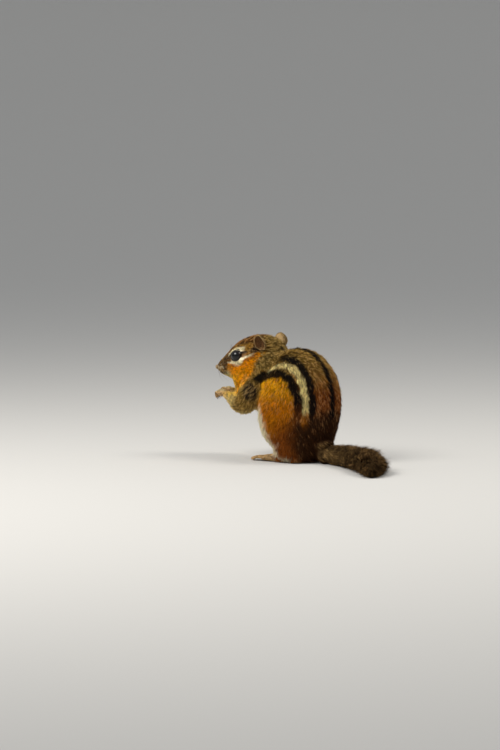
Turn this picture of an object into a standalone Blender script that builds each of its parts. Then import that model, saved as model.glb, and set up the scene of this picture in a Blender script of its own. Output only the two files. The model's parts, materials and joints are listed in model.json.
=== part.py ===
"""An eastern chipmunk that sits on its haunches with its forepaws held up under its chin.

The animal faces -Y and its left side is at +X. The origin is on the floor under the rump, in the
trunk's plane of symmetry. The solids reach out to the tips of the coat. One fused form is cut
into head, neck, trunk, legs and tail. Ears, eyes, nose, paws and feet are pieces of their own.
"""

import math

import bmesh
import bpy
from mathutils import Matrix, Vector

MM = 0.001  # sizes below are in millimetres, and the meshes are in metres

# Gap between neighbouring pieces, and how near two points are one
GAP = 0.3
SAME_POINT = 0.01

# How finely the large form and the small pieces are made
BODY_VOXEL = 1.2
BODY_SMOOTHING = 12
BODY_TRIANGLES = 2700
SMALL_VOXEL = 0.5
SMALL_SMOOTHING = 2
FOOT_TRIANGLES = 420
PAW_TRIANGLES = 360
REGION_VOXEL = 1.0
REGION_TRIANGLES = 260
RING_POINTS = 24
RING_STEPS = 5

# Where the head is held: the nose tip, and how far the head turns left and nods down, in degrees
NOSE_TIP = Vector((9.0, -75.6, 57.9))
HEAD_YAW = 13.0
HEAD_PITCH = 12.0

# Head sections from the nose tip back: distance, half width, top and bottom
HEAD_SECTIONS = (
    (0.2, 1.0, 0.8, -1.5),
    (1.2, 2.4, 2.2, -3.4),
    (4.0, 4.0, 4.4, -5.8),
    (8.0, 5.8, 6.6, -8.2),
    (12.0, 8.0, 8.9, -10.0),
    (16.0, 10.4, 11.5, -11.6),
    (20.5, 12.3, 13.7, -12.8),
    (26.0, 13.5, 15.4, -13.6),
    (32.0, 14.0, 16.1, -13.8),
    (38.0, 13.8, 15.8, -13.4),
    (44.0, 12.8, 14.0, -12.2),
    (50.0, 10.0, 10.2, -10.0),
    (54.0, 5.0, 5.5, -5.5),
)
HEAD_TAPER = 0.14  # how much narrower a section's top is, and wider its bottom

# In the head's own frame, mirrored to the right: x is left, y is back from the nose tip, z is up
EYE_CENTRE = Vector((9.8, 23.2, 4.0))
EYE_RADIUS = 4.1
EAR_CENTRE = Vector((13.2, 44.0, 9.2))
EAR_RADII = Vector((3.0, 4.4, 5.6))
EAR_TURN = 2.0  # how far the cup faces forwards from straight out
EAR_LEAN = 14.0  # how far the top leans out
EAR_WALLS = Vector((0.8, 1.2, 1.2))
EAR_SCOOP = 1.7  # how far out of the ellipsoid its hollow is shifted
EAR_TRIANGLES = 260
NOSE_CENTRE = Vector((0.0, 0.9, 0.0))
NOSE_RADII = Vector((1.9, 1.3, 1.5))

# Trunk sections from the floor up: height, front, back and half width
TRUNK_SECTIONS = (
    (-1.5, -12.0, 3.0, 10.5),
    (1.0, -14.5, 6.0, 14.5),
    (4.5, -18.0, 9.5, 17.5),
    (9.0, -25.0, 11.8, 20.2),
    (15.0, -31.0, 14.4, 22.4),
    (25.0, -37.0, 18.4, 23.6),
    (35.0, -39.6, 20.6, 24.0),
    (45.0, -37.5, 20.4, 23.4),
    (55.0, -33.5, 17.6, 20.8),
    (62.0, -30.0, 13.4, 17.4),
    (68.0, -26.0, 7.8, 13.0),
    (71.6, -21.5, 1.5, 8.2),
    (73.6, -13.0, -5.0, 2.5),
)

# Rounded masses: centre and radii. The side masses stand on the left and are mirrored
MIDDLE_MASSES = (
    ((0.0, -36.0, 51.0), (16.0, 18.5, 17.0)),
    ((1.5, -31.0, 60.5), (13.0, 16.0, 13.5)),
    ((3.5, -49.0, 53.5), (12.0, 14.0, 13.0)),
    ((3.0, -51.0, 46.0), (10.0, 10.5, 11.0)),
)
SIDE_MASSES = (
    ((14.6, -13.0, 29.5), (10.8, 17.5, 21.0)),
    ((13.5, -7.5, 11.0), (9.0, 12.0, 11.0)),
)

# Limbs and tail as tubes: centre, half width and half height of each section
LEFT_ARM = (
    ((9.0, -38.0, 51.0), 8.5, 8.5),
    ((12.4, -41.5, 43.0), 8.5, 8.5),
    ((14.0, -43.5, 36.6), 7.6, 7.6),
    ((12.8, -50.0, 34.8), 6.3, 6.0),
    ((10.8, -57.0, 36.6), 4.7, 4.7),
    ((9.0, -63.0, 38.8), 3.6, 3.6),
    ((7.8, -68.5, 40.6), 2.9, 3.0),
)
RIGHT_ARM = (
    ((-9.0, -38.0, 51.0), 8.5, 8.5),
    ((-12.4, -41.5, 43.0), 8.5, 8.5),
    ((-13.4, -44.5, 37.2), 7.6, 7.6),
    ((-10.6, -51.5, 36.0), 6.3, 6.0),
    ((-6.4, -58.5, 38.4), 4.7, 4.7),
    ((-2.8, -64.5, 40.8), 3.6, 3.6),
    ((0.0, -69.5, 42.4), 2.9, 3.0),
)
TAIL = (
    ((0.0, 3.0, 9.0), 6.0, 6.0),
    ((0.4, 12.0, 7.2), 6.0, 6.6),
    ((1.4, 23.0, 6.2), 7.6, 6.9),
    ((4.0, 36.0, 6.2), 9.6, 7.0),
    ((9.0, 50.0, 6.2), 10.6, 7.0),
    ((16.6, 63.5, 6.0), 10.6, 6.8),
    ((26.0, 75.5, 5.4), 9.0, 6.2),
    ((34.5, 84.0, 4.4), 6.0, 5.0),
    ((40.5, 89.5, 3.4), 1.8, 2.6),
)
# Where the tail is parted from the trunk and in itself, on its centre line
TAIL_TOP = 16.0
TAIL_CUTS = ((0.5, 16.5), (3.4, 34.0), (13.6, 59.0))
TAIL_CUT_AHEAD = 6.0  # how far behind a cut the place is that it squarely faces

# Hind foot on the left: the sole's sections, and the toes from the inner to the outer one
SOLE = (
    ((12.6, 2.5, 4.2), 3.0, 3.4),
    ((12.8, -4.5, 4.0), 4.0, 4.2),
    ((13.2, -13.0, 3.0), 4.3, 3.4),
    ((13.8, -21.0, 2.6), 4.9, 2.9),
    ((14.2, -26.5, 2.3), 4.9, 2.5),
)
TOE_ROOTS = (10.5, 12.3, 14.2, 16.1, 17.8)
TOE_LENGTHS = (6.8, 9.2, 10.0, 9.2, 6.4)
TOE_RADIUS = 1.3
TOE_TIP_RADIUS = 1.05
TOE_SPLAY = 0.07
TOE_HEIGHT = 2.1
TOE_START = 3.0  # how far behind the sole's front a toe starts
TOE_BEND = 0.45  # the share of its length at which it is highest
TOE_ARCH = 0.8
TOE_DROP = 0.7
TOE_CLAW_HEADING = Vector((0.0, -1.0, -0.15))

# Forepaws: each palm's middle and how it is turned, and one finger's path out from the palm
PALMS = {
    "left": (Vector((8.0, -71.8, 41.4)), 10.0, 24.0),
    "right": (Vector((0.1, -72.8, 42.6)), -8.0, -24.0),
}
PALM_RADII = Vector((3.3, 3.6, 2.9))
FINGER = (
    (0.0, -1.5, 0.4),
    (0.0, -3.8, 0.9),
    (0.0, -5.3, -0.2),
    (0.0, -5.9, -2.0),
    (0.0, -5.7, -3.4),
)
FINGER_OFFSETS = (-2.4, -0.8, 0.8, 2.4)
FINGER_RADIUS = 0.95
FINGER_CLOSING = 0.06  # the share of its offset that a finger loses for each millimetre out
CLAW_LENGTH = 1.9
CLAW_RADIUS = 0.42

# Planes that part the head from the neck and the neck from the trunk: a point, and how far the
# plane leans back from upright, in degrees
HEAD_CUT = (Vector((3.0, -41.5, 62.5)), 45.0)
NECK_CUT = (Vector((0.0, -30.5, 56.0)), 37.0)
HEAD_LOWEST = 45.5
NECK_LOWEST = 20.0
CUTTER_SIZE = 160.0

# How far the arm's own piece reaches into the shoulder, and the haunch's place and size
ARM_MARGIN = 1.6
HAUNCH_CENTRE = Vector((17.0, -13.5, 28.0))
HAUNCH_RADII = Vector((12.5, 20.5, 24.5))

SHARP_ANGLE = 40.0

# Kinds of finish that go by another name than their nodes
KINDS = {"foreleg": "leg", "hindleg": "leg", "forepaw": "foot", "hindfoot": "foot"}

# Linear colours and roughness of each kind of piece
FINISHES = {
    "head": ((0.16, 0.085, 0.035), 0.9),
    "neck": ((0.2, 0.12, 0.05), 0.9),
    "trunk": ((0.15, 0.08, 0.035), 0.9),
    "leg": ((0.3, 0.13, 0.04), 0.9),
    "foot": ((0.38, 0.26, 0.16), 0.8),
    "tail": ((0.07, 0.055, 0.04), 0.95),
    "ear": ((0.22, 0.1, 0.06), 0.8),
    "eye": ((0.004, 0.004, 0.005), 0.08),
    "nose": ((0.16, 0.08, 0.06), 0.45),
}


def splined(rows, steps=RING_STEPS):
    """The rows of numbers, with more between each two, on a Catmull-Rom curve."""
    padded = [rows[0], *rows, rows[-1]]
    made = []
    for i in range(len(rows) - 1):
        around = padded[i : i + 4]
        for k in range(steps):
            t = k / steps
            weights = (
                (-t + 2 * t * t - t**3) / 2,
                (2 - 5 * t * t + 3 * t**3) / 2,
                (t + 4 * t * t - 3 * t**3) / 2,
                (t**3 - t * t) / 2,
            )
            made.append([sum(w * v for w, v in zip(weights, values)) for values in zip(*around)])
    made.append(list(rows[-1]))
    return made


def bridge_rings(bm, rings):
    """A closed skin through rings of points, given in millimetres."""
    made = [[bm.verts.new(point * MM) for point in ring] for ring in rings]
    for first, second in zip(made, made[1:]):
        for k in range(len(first)):
            j = (k + 1) % len(first)
            bm.faces.new((first[k], first[j], second[j], second[k]))
    bm.faces.new(made[0])
    bm.faces.new(made[-1])


def add_tube(bm, sections):
    """A tube through sections of centre, half width and half height."""
    rows = splined([(*centre, wide, high) for centre, wide, high in sections])
    rings = []
    for i, (x, y, z, wide, high) in enumerate(rows):
        ahead = Vector(rows[min(i + 1, len(rows) - 1)][:3])
        behind = Vector(rows[max(i - 1, 0)][:3])
        along = (ahead - behind).normalized()
        across = along.cross(Vector((0, 0, 1))).normalized()
        up = across.cross(along)
        turns = [math.tau * k / RING_POINTS for k in range(RING_POINTS)]
        rings.append(
            [
                Vector((x, y, z))
                + across * wide * math.cos(turn)
                + up * high * math.sin(turn)
                for turn in turns
            ]
        )
    bridge_rings(bm, rings)


def add_head(bm):
    """The head's loft, whose top and bottom differ in height at each section."""
    frame = head_frame()
    rings = []
    for back, half, top, bottom in splined(HEAD_SECTIONS):
        ring = []
        for k in range(RING_POINTS):
            turn = math.tau * k / RING_POINTS
            rise = math.sin(turn) * (top if k < RING_POINTS / 2 else -bottom)
            wide = half * math.cos(turn) * (1 - HEAD_TAPER * math.sin(turn))
            ring.append(frame @ Vector((wide, back, rise)))
        rings.append(ring)
    bridge_rings(bm, rings)


def add_trunk(bm):
    """The trunk's loft, whose sections lie level."""
    rings = []
    for height, front, back, half in splined(TRUNK_SECTIONS):
        middle, reach = (front + back) / 2, (back - front) / 2
        ring = []
        for k in range(RING_POINTS):
            turn = math.tau * k / RING_POINTS
            ring.append(Vector((half * math.cos(turn), middle + reach * math.sin(turn), height)))
        rings.append(ring)
    bridge_rings(bm, rings)


def add_ellipsoid(bm, centre, radii, frame=Matrix.Identity(4), segments=18, rings=10):
    """An ellipsoid whose centre, radii and frame are in millimetres."""
    place = (
        Matrix.Scale(MM, 4)
        @ frame
        @ Matrix.Translation(Vector(centre))
        @ Matrix.Diagonal((*radii, 1.0))
    )
    bmesh.ops.create_uvsphere(bm, u_segments=segments, v_segments=rings, radius=1.0, matrix=place)


def head_frame():
    """From the head's own frame to the animal's, in millimetres."""
    return (
        Matrix.Translation(NOSE_TIP)
        @ Matrix.Rotation(math.radians(HEAD_YAW), 4, "Z")
        @ Matrix.Rotation(math.radians(HEAD_PITCH), 4, "X")
    )


def mirrored(point, side):
    return Vector((side * point[0], point[1], point[2]))


def tidy_mesh(bm):
    """Faces turned outwards, and only the largest body kept."""
    bmesh.ops.remove_doubles(bm, verts=bm.verts, dist=SAME_POINT * MM)
    waiting = set(bm.verts)
    bodies = []
    while waiting:
        body = set()
        found = [waiting.pop()]
        while found:
            vert = found.pop()
            body.add(vert)
            near = {edge.other_vert(vert) for edge in vert.link_edges} & waiting
            waiting -= near
            found.extend(near)
        bodies.append(body)
    bodies.sort(key=len)
    for body in bodies[:-1]:
        bmesh.ops.delete(bm, geom=list(body), context="VERTS")
    bmesh.ops.recalc_face_normals(bm, faces=bm.faces)


def new_object(name, bm, collection, single=False):
    if single:
        tidy_mesh(bm)
    else:
        bmesh.ops.recalc_face_normals(bm, faces=bm.faces)
    mesh = bpy.data.meshes.new(name)
    bm.to_mesh(mesh)
    bm.free()
    obj = bpy.data.objects.new(name, mesh)
    collection.objects.link(obj)
    return obj


def new_cutter(name, bm, cutters):
    """A guide or cutter, which isn't part of the animal."""
    cutter = new_object(name, bm, cutters)
    cutter.display_type = "WIRE"
    cutter.hide_render = True
    return cutter


def settle(obj):
    """The object's modifiers applied, with one closed body kept."""
    graph = bpy.context.evaluated_depsgraph_get()
    made = bpy.data.meshes.new_from_object(obj.evaluated_get(graph))
    obj.modifiers.clear()
    bm = bmesh.new()
    bm.from_mesh(made)
    bpy.data.meshes.remove(made)
    tidy_mesh(bm)
    bm.to_mesh(obj.data)
    bm.free()
    return obj


def soften(obj, voxel, rounds, triangles):
    """The overlapping shapes of one object fused, rounded where they meet, and made coarse."""
    remesh = obj.modifiers.new("fuse", "REMESH")
    remesh.mode = "VOXEL"
    remesh.voxel_size = voxel * MM
    smooth = obj.modifiers.new("round", "SMOOTH")
    smooth.factor = 0.5
    smooth.iterations = rounds
    settle(obj)
    faces = 2 * len(obj.data.polygons)
    coarse = obj.modifiers.new("coarse", "DECIMATE")
    coarse.ratio = min(1.0, triangles / faces)
    return settle(obj)


def boolean(obj, other, operation):
    cut = obj.modifiers.new("cut", "BOOLEAN")
    cut.object = other
    cut.operation = operation
    cut.solver = "EXACT"
    return settle(obj)


def copied(obj, name, collection):
    twin = bpy.data.objects.new(name, obj.data.copy())
    collection.objects.link(twin)
    return twin


def swollen(obj, name, cutters):
    """A cutter that stands proud of the object by the gap."""
    twin = copied(obj, name, cutters)
    twin.display_type = "WIRE"
    twin.hide_render = True
    swell = twin.modifiers.new("gap", "DISPLACE")
    swell.mid_level = 0.0
    swell.strength = GAP * MM
    return settle(twin)


def region_cutter(name, build_region, grow, cutters):
    bm = bmesh.new()
    build_region(bm, grow)
    return new_cutter(name, bm, cutters)


def part_off(form, name, inner, outer, animal):
    """The piece of the form inside the inner cutter. The form keeps what the outer one leaves."""
    piece = boolean(copied(form, name, animal), inner, "INTERSECT")
    boolean(form, outer, "DIFFERENCE")
    return piece


def part_region(form, name, build_region, animal, cutters):
    inner = region_cutter(name + "_inner", build_region, 0.0, cutters)
    outer = region_cutter(name + "_outer", build_region, GAP, cutters)
    return part_off(form, name, inner, outer, animal)


def part_arm(form, name, arm, animal, cutters):
    """One arm, from inside the shoulder to the wrist."""
    bm = bmesh.new()
    add_tube(bm, [(centre, wide + ARM_MARGIN, high + ARM_MARGIN) for centre, wide, high in arm])
    inner = new_cutter(name + "_inner", bm, cutters)
    soften(inner, REGION_VOXEL, SMALL_SMOOTHING, REGION_TRIANGLES)
    return part_off(form, name, inner, swollen(inner, name + "_outer", cutters), animal)


def floor_cutter(cutters):
    bm = bmesh.new()
    size = 2 * CUTTER_SIZE
    place = Matrix.Translation((0, 0, -size * MM / 2)) @ Matrix.Scale(size * MM, 4)
    bmesh.ops.create_cube(bm, size=1.0, matrix=place)
    return new_cutter("floor_cutter", bm, cutters)


def body_form(collection, floor):
    """The animal without ears, paws and feet, as one smooth form with flats on the floor."""
    bm = bmesh.new()
    add_trunk(bm)
    add_head(bm)
    add_tube(bm, LEFT_ARM)
    add_tube(bm, RIGHT_ARM)
    add_tube(bm, TAIL)
    for centre, radii in MIDDLE_MASSES:
        add_ellipsoid(bm, centre, radii)
    for centre, radii in SIDE_MASSES:
        for side in (1, -1):
            add_ellipsoid(bm, mirrored(centre, side), radii)
    form = soften(
        new_object("trunk", bm, collection), BODY_VOXEL, BODY_SMOOTHING, BODY_TRIANGLES
    )
    return boolean(form, floor, "DIFFERENCE")


def slab_region(cut, yaw, lowest):
    """What lies in front of a tilted plane and above a height, as a region to part off."""
    point, tilt = cut

    def build(bm, grow):
        place = (
            Matrix.Scale(MM, 4)
            @ Matrix.Translation(point)
            @ Matrix.Rotation(math.radians(yaw), 4, "Z")
            @ Matrix.Rotation(math.radians(-tilt), 4, "X")
            @ Matrix.Translation((0, grow - CUTTER_SIZE / 2, 0))
            @ Matrix.Scale(CUTTER_SIZE, 4)
        )
        bmesh.ops.create_cube(bm, size=1.0, matrix=place)
        bottom = (lowest - grow) * MM
        bmesh.ops.bisect_plane(
            bm,
            geom=bm.verts[:] + bm.edges[:] + bm.faces[:],
            plane_co=(0, 0, bottom),
            plane_no=(0, 0, -1),
            clear_outer=True,
        )
        bmesh.ops.holes_fill(bm, edges=[edge for edge in bm.edges if edge.is_boundary])

    return build


def haunch_region(side):
    def build(bm, grow):
        radii = HAUNCH_RADII + Vector((grow, grow, grow))
        add_ellipsoid(bm, mirrored(HAUNCH_CENTRE, side), radii, segments=16, rings=8)

    return build


def behind_region(cut):
    """What lies behind an upright plane across the tail."""
    x, y = cut
    ahead = min(TAIL, key=lambda section: abs(section[0][1] - y - TAIL_CUT_AHEAD))[0]
    heading = math.atan2(ahead[0] - x, ahead[1] - y)

    def build(bm, grow):
        place = (
            Matrix.Scale(MM, 4)
            @ Matrix.Translation((x, y, 0))
            @ Matrix.Rotation(-heading, 4, "Z")
            @ Matrix.Translation((0, CUTTER_SIZE / 2 - grow, TAIL_TOP + grow - CUTTER_SIZE / 2))
            @ Matrix.Scale(CUTTER_SIZE, 4)
        )
        bmesh.ops.create_cube(bm, size=1.0, matrix=place)

    return build


def add_claw(bm, root, heading):
    """A short pointed cone from a toe's end."""
    turn = heading.to_track_quat("Z", "Y").to_matrix().to_4x4()
    place = Matrix.Scale(MM, 4) @ Matrix.Translation(root + heading * CLAW_LENGTH / 2) @ turn
    bmesh.ops.create_cone(
        bm,
        segments=8,
        radius1=CLAW_RADIUS,
        radius2=CLAW_RADIUS / 4,
        depth=CLAW_LENGTH,
        cap_ends=True,
        matrix=place,
    )


def hind_foot(side, collection, floor):
    """A long flat sole with five toes and their claws."""
    bm = bmesh.new()
    add_tube(bm, [(mirrored(centre, side), wide, high) for centre, wide, high in SOLE])
    front = SOLE[-1][0][1]
    middle = SOLE[-1][0][0]
    for root, length in zip(TOE_ROOTS, TOE_LENGTHS):
        splay = (root - middle) * TOE_SPLAY
        start = mirrored((root, front + TOE_START, TOE_HEIGHT), side)
        bend = mirrored((root + splay * 2, front - length * TOE_BEND, TOE_HEIGHT + TOE_ARCH), side)
        tip = mirrored((root + splay * 4, front - length, TOE_HEIGHT - TOE_DROP), side)
        add_tube(
            bm,
            (
                (start, TOE_RADIUS, TOE_RADIUS),
                (bend, TOE_RADIUS, TOE_RADIUS),
                (tip, TOE_TIP_RADIUS, TOE_TIP_RADIUS),
            ),
        )
        add_claw(bm, tip, TOE_CLAW_HEADING.normalized())
    name = "hindfoot_left" if side > 0 else "hindfoot_right"
    foot = soften(new_object(name, bm, collection), SMALL_VOXEL, SMALL_SMOOTHING, FOOT_TRIANGLES)
    return boolean(foot, floor, "DIFFERENCE")


def fore_paw(side_name, collection):
    """A palm with four fingers that curl down, and their claws."""
    centre, turn, roll = PALMS[side_name]
    frame = (
        Matrix.Translation(centre)
        @ Matrix.Rotation(math.radians(-turn), 4, "Z")
        @ Matrix.Rotation(math.radians(roll), 4, "Y")
    )
    bm = bmesh.new()
    add_ellipsoid(bm, (0, 0, 0), PALM_RADII, frame, 16, 10)
    for offset in FINGER_OFFSETS:
        path = []
        for x, y, z in FINGER:
            spread = offset * (1.0 - FINGER_CLOSING * abs(y))
            path.append((frame @ Vector((x + spread, y, z)), FINGER_RADIUS, FINGER_RADIUS))
        add_tube(bm, path)
        add_claw(bm, path[-1][0], (path[-1][0] - path[-2][0]).normalized())
    name = "forepaw_" + side_name
    return soften(new_object(name, bm, collection), SMALL_VOXEL, SMALL_SMOOTHING, PAW_TRIANGLES)


def ear(side, collection, cutters):
    """A cup, scooped out of an ellipsoid, that faces out and forwards."""
    frame = (
        head_frame()
        @ Matrix.Translation(mirrored(EAR_CENTRE, side))
        @ Matrix.Rotation(math.radians(-side * EAR_TURN), 4, "Z")
        @ Matrix.Rotation(math.radians(side * EAR_LEAN), 4, "Y")
    )
    name = "ear_left" if side > 0 else "ear_right"
    bm = bmesh.new()
    add_ellipsoid(bm, (0, 0, 0), EAR_RADII, frame)
    cup = new_object(name, bm, collection)
    bm = bmesh.new()
    add_ellipsoid(bm, (side * EAR_SCOOP, 0, 0), EAR_RADII - EAR_WALLS, frame)
    scoop = new_cutter(name + "_scoop", bm, cutters)
    boolean(cup, scoop, "DIFFERENCE")
    return soften(cup, SMALL_VOXEL, SMALL_SMOOTHING, EAR_TRIANGLES)


def ball(name, centre, radii, collection, segments=14, rings=9):
    bm = bmesh.new()
    add_ellipsoid(bm, centre, radii, head_frame(), segments, rings)
    return new_object(name, bm, collection)


def small_pieces(form, animal, cutters, floor):
    """The eyes, nose, ears, paws and feet, and the form cleared round them."""
    for side, label in ((1, "left"), (-1, "right")):
        eye = ball("eye_" + label, mirrored(EYE_CENTRE, side), [EYE_RADIUS] * 3, animal)
        boolean(form, swollen(eye, eye.name + "_socket", cutters), "DIFFERENCE")
    nose = ball("nose", NOSE_CENTRE, NOSE_RADII, animal, 10, 7)
    boolean(form, swollen(nose, "nose_bed", cutters), "DIFFERENCE")
    body = swollen(form, "body_bed", cutters)
    paws = [fore_paw(label, animal) for label in PALMS]
    feet = [hind_foot(side, animal, floor) for side in (1, -1)]
    ears = [ear(side, animal, cutters) for side in (1, -1)]
    for piece in paws + feet + ears:
        boolean(piece, body, "DIFFERENCE")


def finish(name, kind):
    """The material and shading of one node."""
    colour, roughness = FINISHES[kind]
    material = bpy.data.materials.get(kind) or bpy.data.materials.new(kind)
    material.use_nodes = True
    shader = material.node_tree.nodes["Principled BSDF"]
    shader.inputs["Base Color"].default_value = (*colour, 1.0)
    shader.inputs["Roughness"].default_value = roughness
    obj = bpy.data.objects[name]
    obj.data.materials.clear()
    obj.data.materials.append(material)
    obj.data.shade_smooth()
    obj.data.set_sharp_from_angle(angle=math.radians(SHARP_ANGLE))


def main():
    for obj in list(bpy.data.objects):
        bpy.data.objects.remove(obj)
    animal = bpy.data.collections.new("chipmunk")
    cutters = bpy.data.collections.new("cutters")
    for collection in (animal, cutters):
        bpy.context.scene.collection.children.link(collection)
    floor = floor_cutter(cutters)
    form = body_form(animal, floor)
    small_pieces(form, animal, cutters, floor)
    part_region(form, "head", slab_region(HEAD_CUT, HEAD_YAW, HEAD_LOWEST), animal, cutters)
    tail = part_region(form, "tail_base", behind_region(TAIL_CUTS[0]), animal, cutters)
    middle = part_region(tail, "tail_middle", behind_region(TAIL_CUTS[1]), animal, cutters)
    part_region(middle, "tail_tip", behind_region(TAIL_CUTS[2]), animal, cutters)
    part_arm(form, "foreleg_left", LEFT_ARM, animal, cutters)
    part_arm(form, "foreleg_right", RIGHT_ARM, animal, cutters)
    part_region(form, "hindleg_left", haunch_region(1), animal, cutters)
    part_region(form, "hindleg_right", haunch_region(-1), animal, cutters)
    part_region(form, "neck", slab_region(NECK_CUT, 0.0, NECK_LOWEST), animal, cutters)
    for obj in animal.objects:
        kind = obj.name.split("_")[0]
        finish(obj.name, KINDS.get(kind, kind))


main()
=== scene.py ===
"""The looks of a still, life-size chipmunk that sits up with its forepaws near its chin.

One skin stands for the flesh of the CAD part and lies inside it by the coat's depth. The coat is solid tufts
that follow the lie of the hair, and skin and coat take their colours from the same markings. Eyes, claws and
whiskers are pieces of their own. Lengths are in millimetres until a mesh is made.
"""

import json
import math

import bmesh
import bpy
import numpy as np
from mathutils import Matrix, Vector
from mathutils.bvhtree import BVHTree
from mathutils.kdtree import KDTree

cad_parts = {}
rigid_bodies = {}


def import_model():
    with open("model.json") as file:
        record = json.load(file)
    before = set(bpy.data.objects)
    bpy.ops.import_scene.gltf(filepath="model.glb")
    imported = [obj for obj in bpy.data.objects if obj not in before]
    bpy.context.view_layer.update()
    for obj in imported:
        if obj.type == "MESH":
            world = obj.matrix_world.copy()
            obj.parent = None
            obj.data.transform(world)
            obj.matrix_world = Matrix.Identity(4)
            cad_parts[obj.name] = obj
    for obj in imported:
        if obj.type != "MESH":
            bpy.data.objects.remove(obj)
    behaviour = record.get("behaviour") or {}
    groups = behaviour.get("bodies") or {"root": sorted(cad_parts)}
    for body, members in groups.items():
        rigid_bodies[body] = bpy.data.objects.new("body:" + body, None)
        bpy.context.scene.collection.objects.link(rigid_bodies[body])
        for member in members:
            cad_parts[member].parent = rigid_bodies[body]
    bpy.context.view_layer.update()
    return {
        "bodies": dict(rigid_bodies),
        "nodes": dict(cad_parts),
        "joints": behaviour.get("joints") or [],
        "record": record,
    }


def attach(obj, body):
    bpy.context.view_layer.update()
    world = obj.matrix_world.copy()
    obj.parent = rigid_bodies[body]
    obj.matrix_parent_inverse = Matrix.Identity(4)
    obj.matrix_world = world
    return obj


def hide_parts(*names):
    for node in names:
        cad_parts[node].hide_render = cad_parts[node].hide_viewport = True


MM = 0.001
SIDES = (1, -1)

# The head's frame and features, as in the CAD part
NOSE_TIP = Vector((9.0, -75.6, 57.9))
HEAD_YAW = 13.0
HEAD_MIDDLE = 3.0
HEAD_PITCH = 12.0
EYE_CENTRE = Vector((9.8, 23.2, 4.0))
EYE_RADIUS = 4.1
EYE_REACH = 8.0
EAR_CENTRE = Vector((13.2, 44.0, 9.2))
EAR_TURN = 2.0
EAR_LEAN = 14.0
NOSE_CENTRE = Vector((0.0, 0.9, 0.0))
NOSE_RADII = np.array((1.95, 1.35, 1.55))

# The paws and feet, as in the CAD part
SOLE = (
    ((12.6, 2.5, 4.2), 2.8, 3.2),
    ((12.8, -4.5, 4.0), 3.6, 3.9),
    ((13.2, -13.0, 3.0), 4.0, 3.1),
    ((13.8, -21.0, 2.5), 4.6, 2.5),
    ((14.2, -26.5, 2.2), 4.5, 2.0),
)
TOE_ROOTS = (10.5, 12.3, 14.2, 16.1, 17.8)
TOE_LENGTHS = (6.8, 9.2, 10.0, 9.2, 6.4)
TOE_MIDDLE = 14.2
TOE_RADIUS = 1.1
TOE_SPLAY = 0.07
FOOT_FRONT = -26.5
PALMS = {1: ((8.0, -71.8, 41.4), 10.0, 24.0), -1: ((0.1, -72.8, 42.6), -8.0, -24.0)}
PALM_RADII = (3.1, 3.5, 2.5)
FINGER = (
    (0.0, -1.5, 0.4),
    (0.0, -3.8, 0.9),
    (0.0, -5.3, -0.2),
    (0.0, -5.9, -2.0),
    (0.0, -5.7, -3.2),
)
FINGER_OFFSETS = (-2.4, -0.8, 0.8, 2.4)
FINGER_RADIUS = 0.74
ARMS = {
    1: (
        (9.0, -38.0, 51.0),
        (12.4, -41.5, 43.0),
        (14.0, -43.5, 36.6),
        (12.8, -50.0, 34.8),
        (10.8, -57.0, 36.6),
        (9.0, -63.0, 38.8),
        (7.8, -68.5, 40.6),
    ),
    -1: (
        (-9.0, -38.0, 51.0),
        (-12.4, -41.5, 43.0),
        (-13.4, -44.5, 37.2),
        (-10.6, -51.5, 36.0),
        (-6.4, -58.5, 38.4),
        (-2.8, -64.5, 40.8),
        (0.0, -69.5, 42.4),
    ),
}
ARM_OVERLAP = 3.0
CLAW_LENGTH = 2.0
CLAW_RADIUS = 0.42
WRIST_RADII = (3.2, 2.7, 2.5)

# The tail's core runs inside the CAD part's tail, whose half width and half height its hair reaches
TAIL = (
    ((0.0, 3.0, 9.0), 6.0, 6.0),
    ((0.4, 12.0, 7.2), 6.0, 6.6),
    ((1.4, 23.0, 6.2), 7.6, 6.9),
    ((4.0, 36.0, 6.2), 9.6, 7.0),
    ((9.0, 50.0, 6.2), 10.6, 7.0),
    ((16.6, 63.5, 6.0), 10.6, 6.8),
    ((26.0, 75.5, 5.4), 9.0, 6.2),
    ((34.5, 84.0, 4.4), 6.0, 5.0),
    ((38.6, 87.8, 3.8), 3.4, 3.6),
)
TAIL_CORE = (6.3, 4.4, 3.3, 2.9, 2.6, 2.4, 2.0, 1.5, 0.9)
TAIL_ROOT = (0.0, -4.0, 10.5)
TAIL_STARTS = 11.5
TAIL_STUB_END = 16.5
TAIL_ROOT_REACH = 8.5
RUMP_PLUG = ((0.0, 4.2, 9.0), (8.4, 5.8, 8.3))

# The mid-line of the back as (Y, Z), from the rump up to the nape, which the stripes are measured from
SPINE = (
    (7.0, 5.0),
    (-1.0, 14.0),
    (-7.0, 26.0),
    (-9.5, 38.0),
    (-13.0, 49.0),
    (-21.0, 57.5),
    (-32.0, 61.0),
    (-45.0, 63.0),
)

POINTS_AT_ONCE = 20000

REGIONS = ("head", "neck", "trunk", "arm", "paw", "foot", "tail", "ear", "lid", "nose")
NODE_REGION = {
    "head": "head",
    "nose": "head",
    "neck": "neck",
    "trunk": "trunk",
    "hindleg": "trunk",
    "foreleg": "arm",
    "forepaw": "paw",
    "hindfoot": "foot",
    "tail": "tail",
}
COPIED = ("head", "neck", "trunk", "foreleg", "hindleg")

# How far the CAD solids are grown so that they meet, the skin's mesh, and the rounds of smoothing over it
GAP = 0.25
SKIN_VOXEL = 0.36
SKIN_FACES = 176000
FIELD_SMOOTHING = 14
FLOW_SMOOTHING = 36

# The coat: its tufts, how they gather into locks, how many stand off, and how wide a patch of one colour is
TUFT_BUDGET = 149500
LOCK_SHARE = 0.11
LOCK_PULL = 0.55
LOCK_REACH = 2.5
STRAY_SHARE = 0.10
STRAY_LEAN = 13.0
STRAY_LENGTH = 1.35
SWING = 46.0
CLUSTER = 0.7
SEEN_AT = 0.6
TUFTS_PER_PIECE = 19500
TUFT_PATCH = 0.003
SEED = 20

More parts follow.
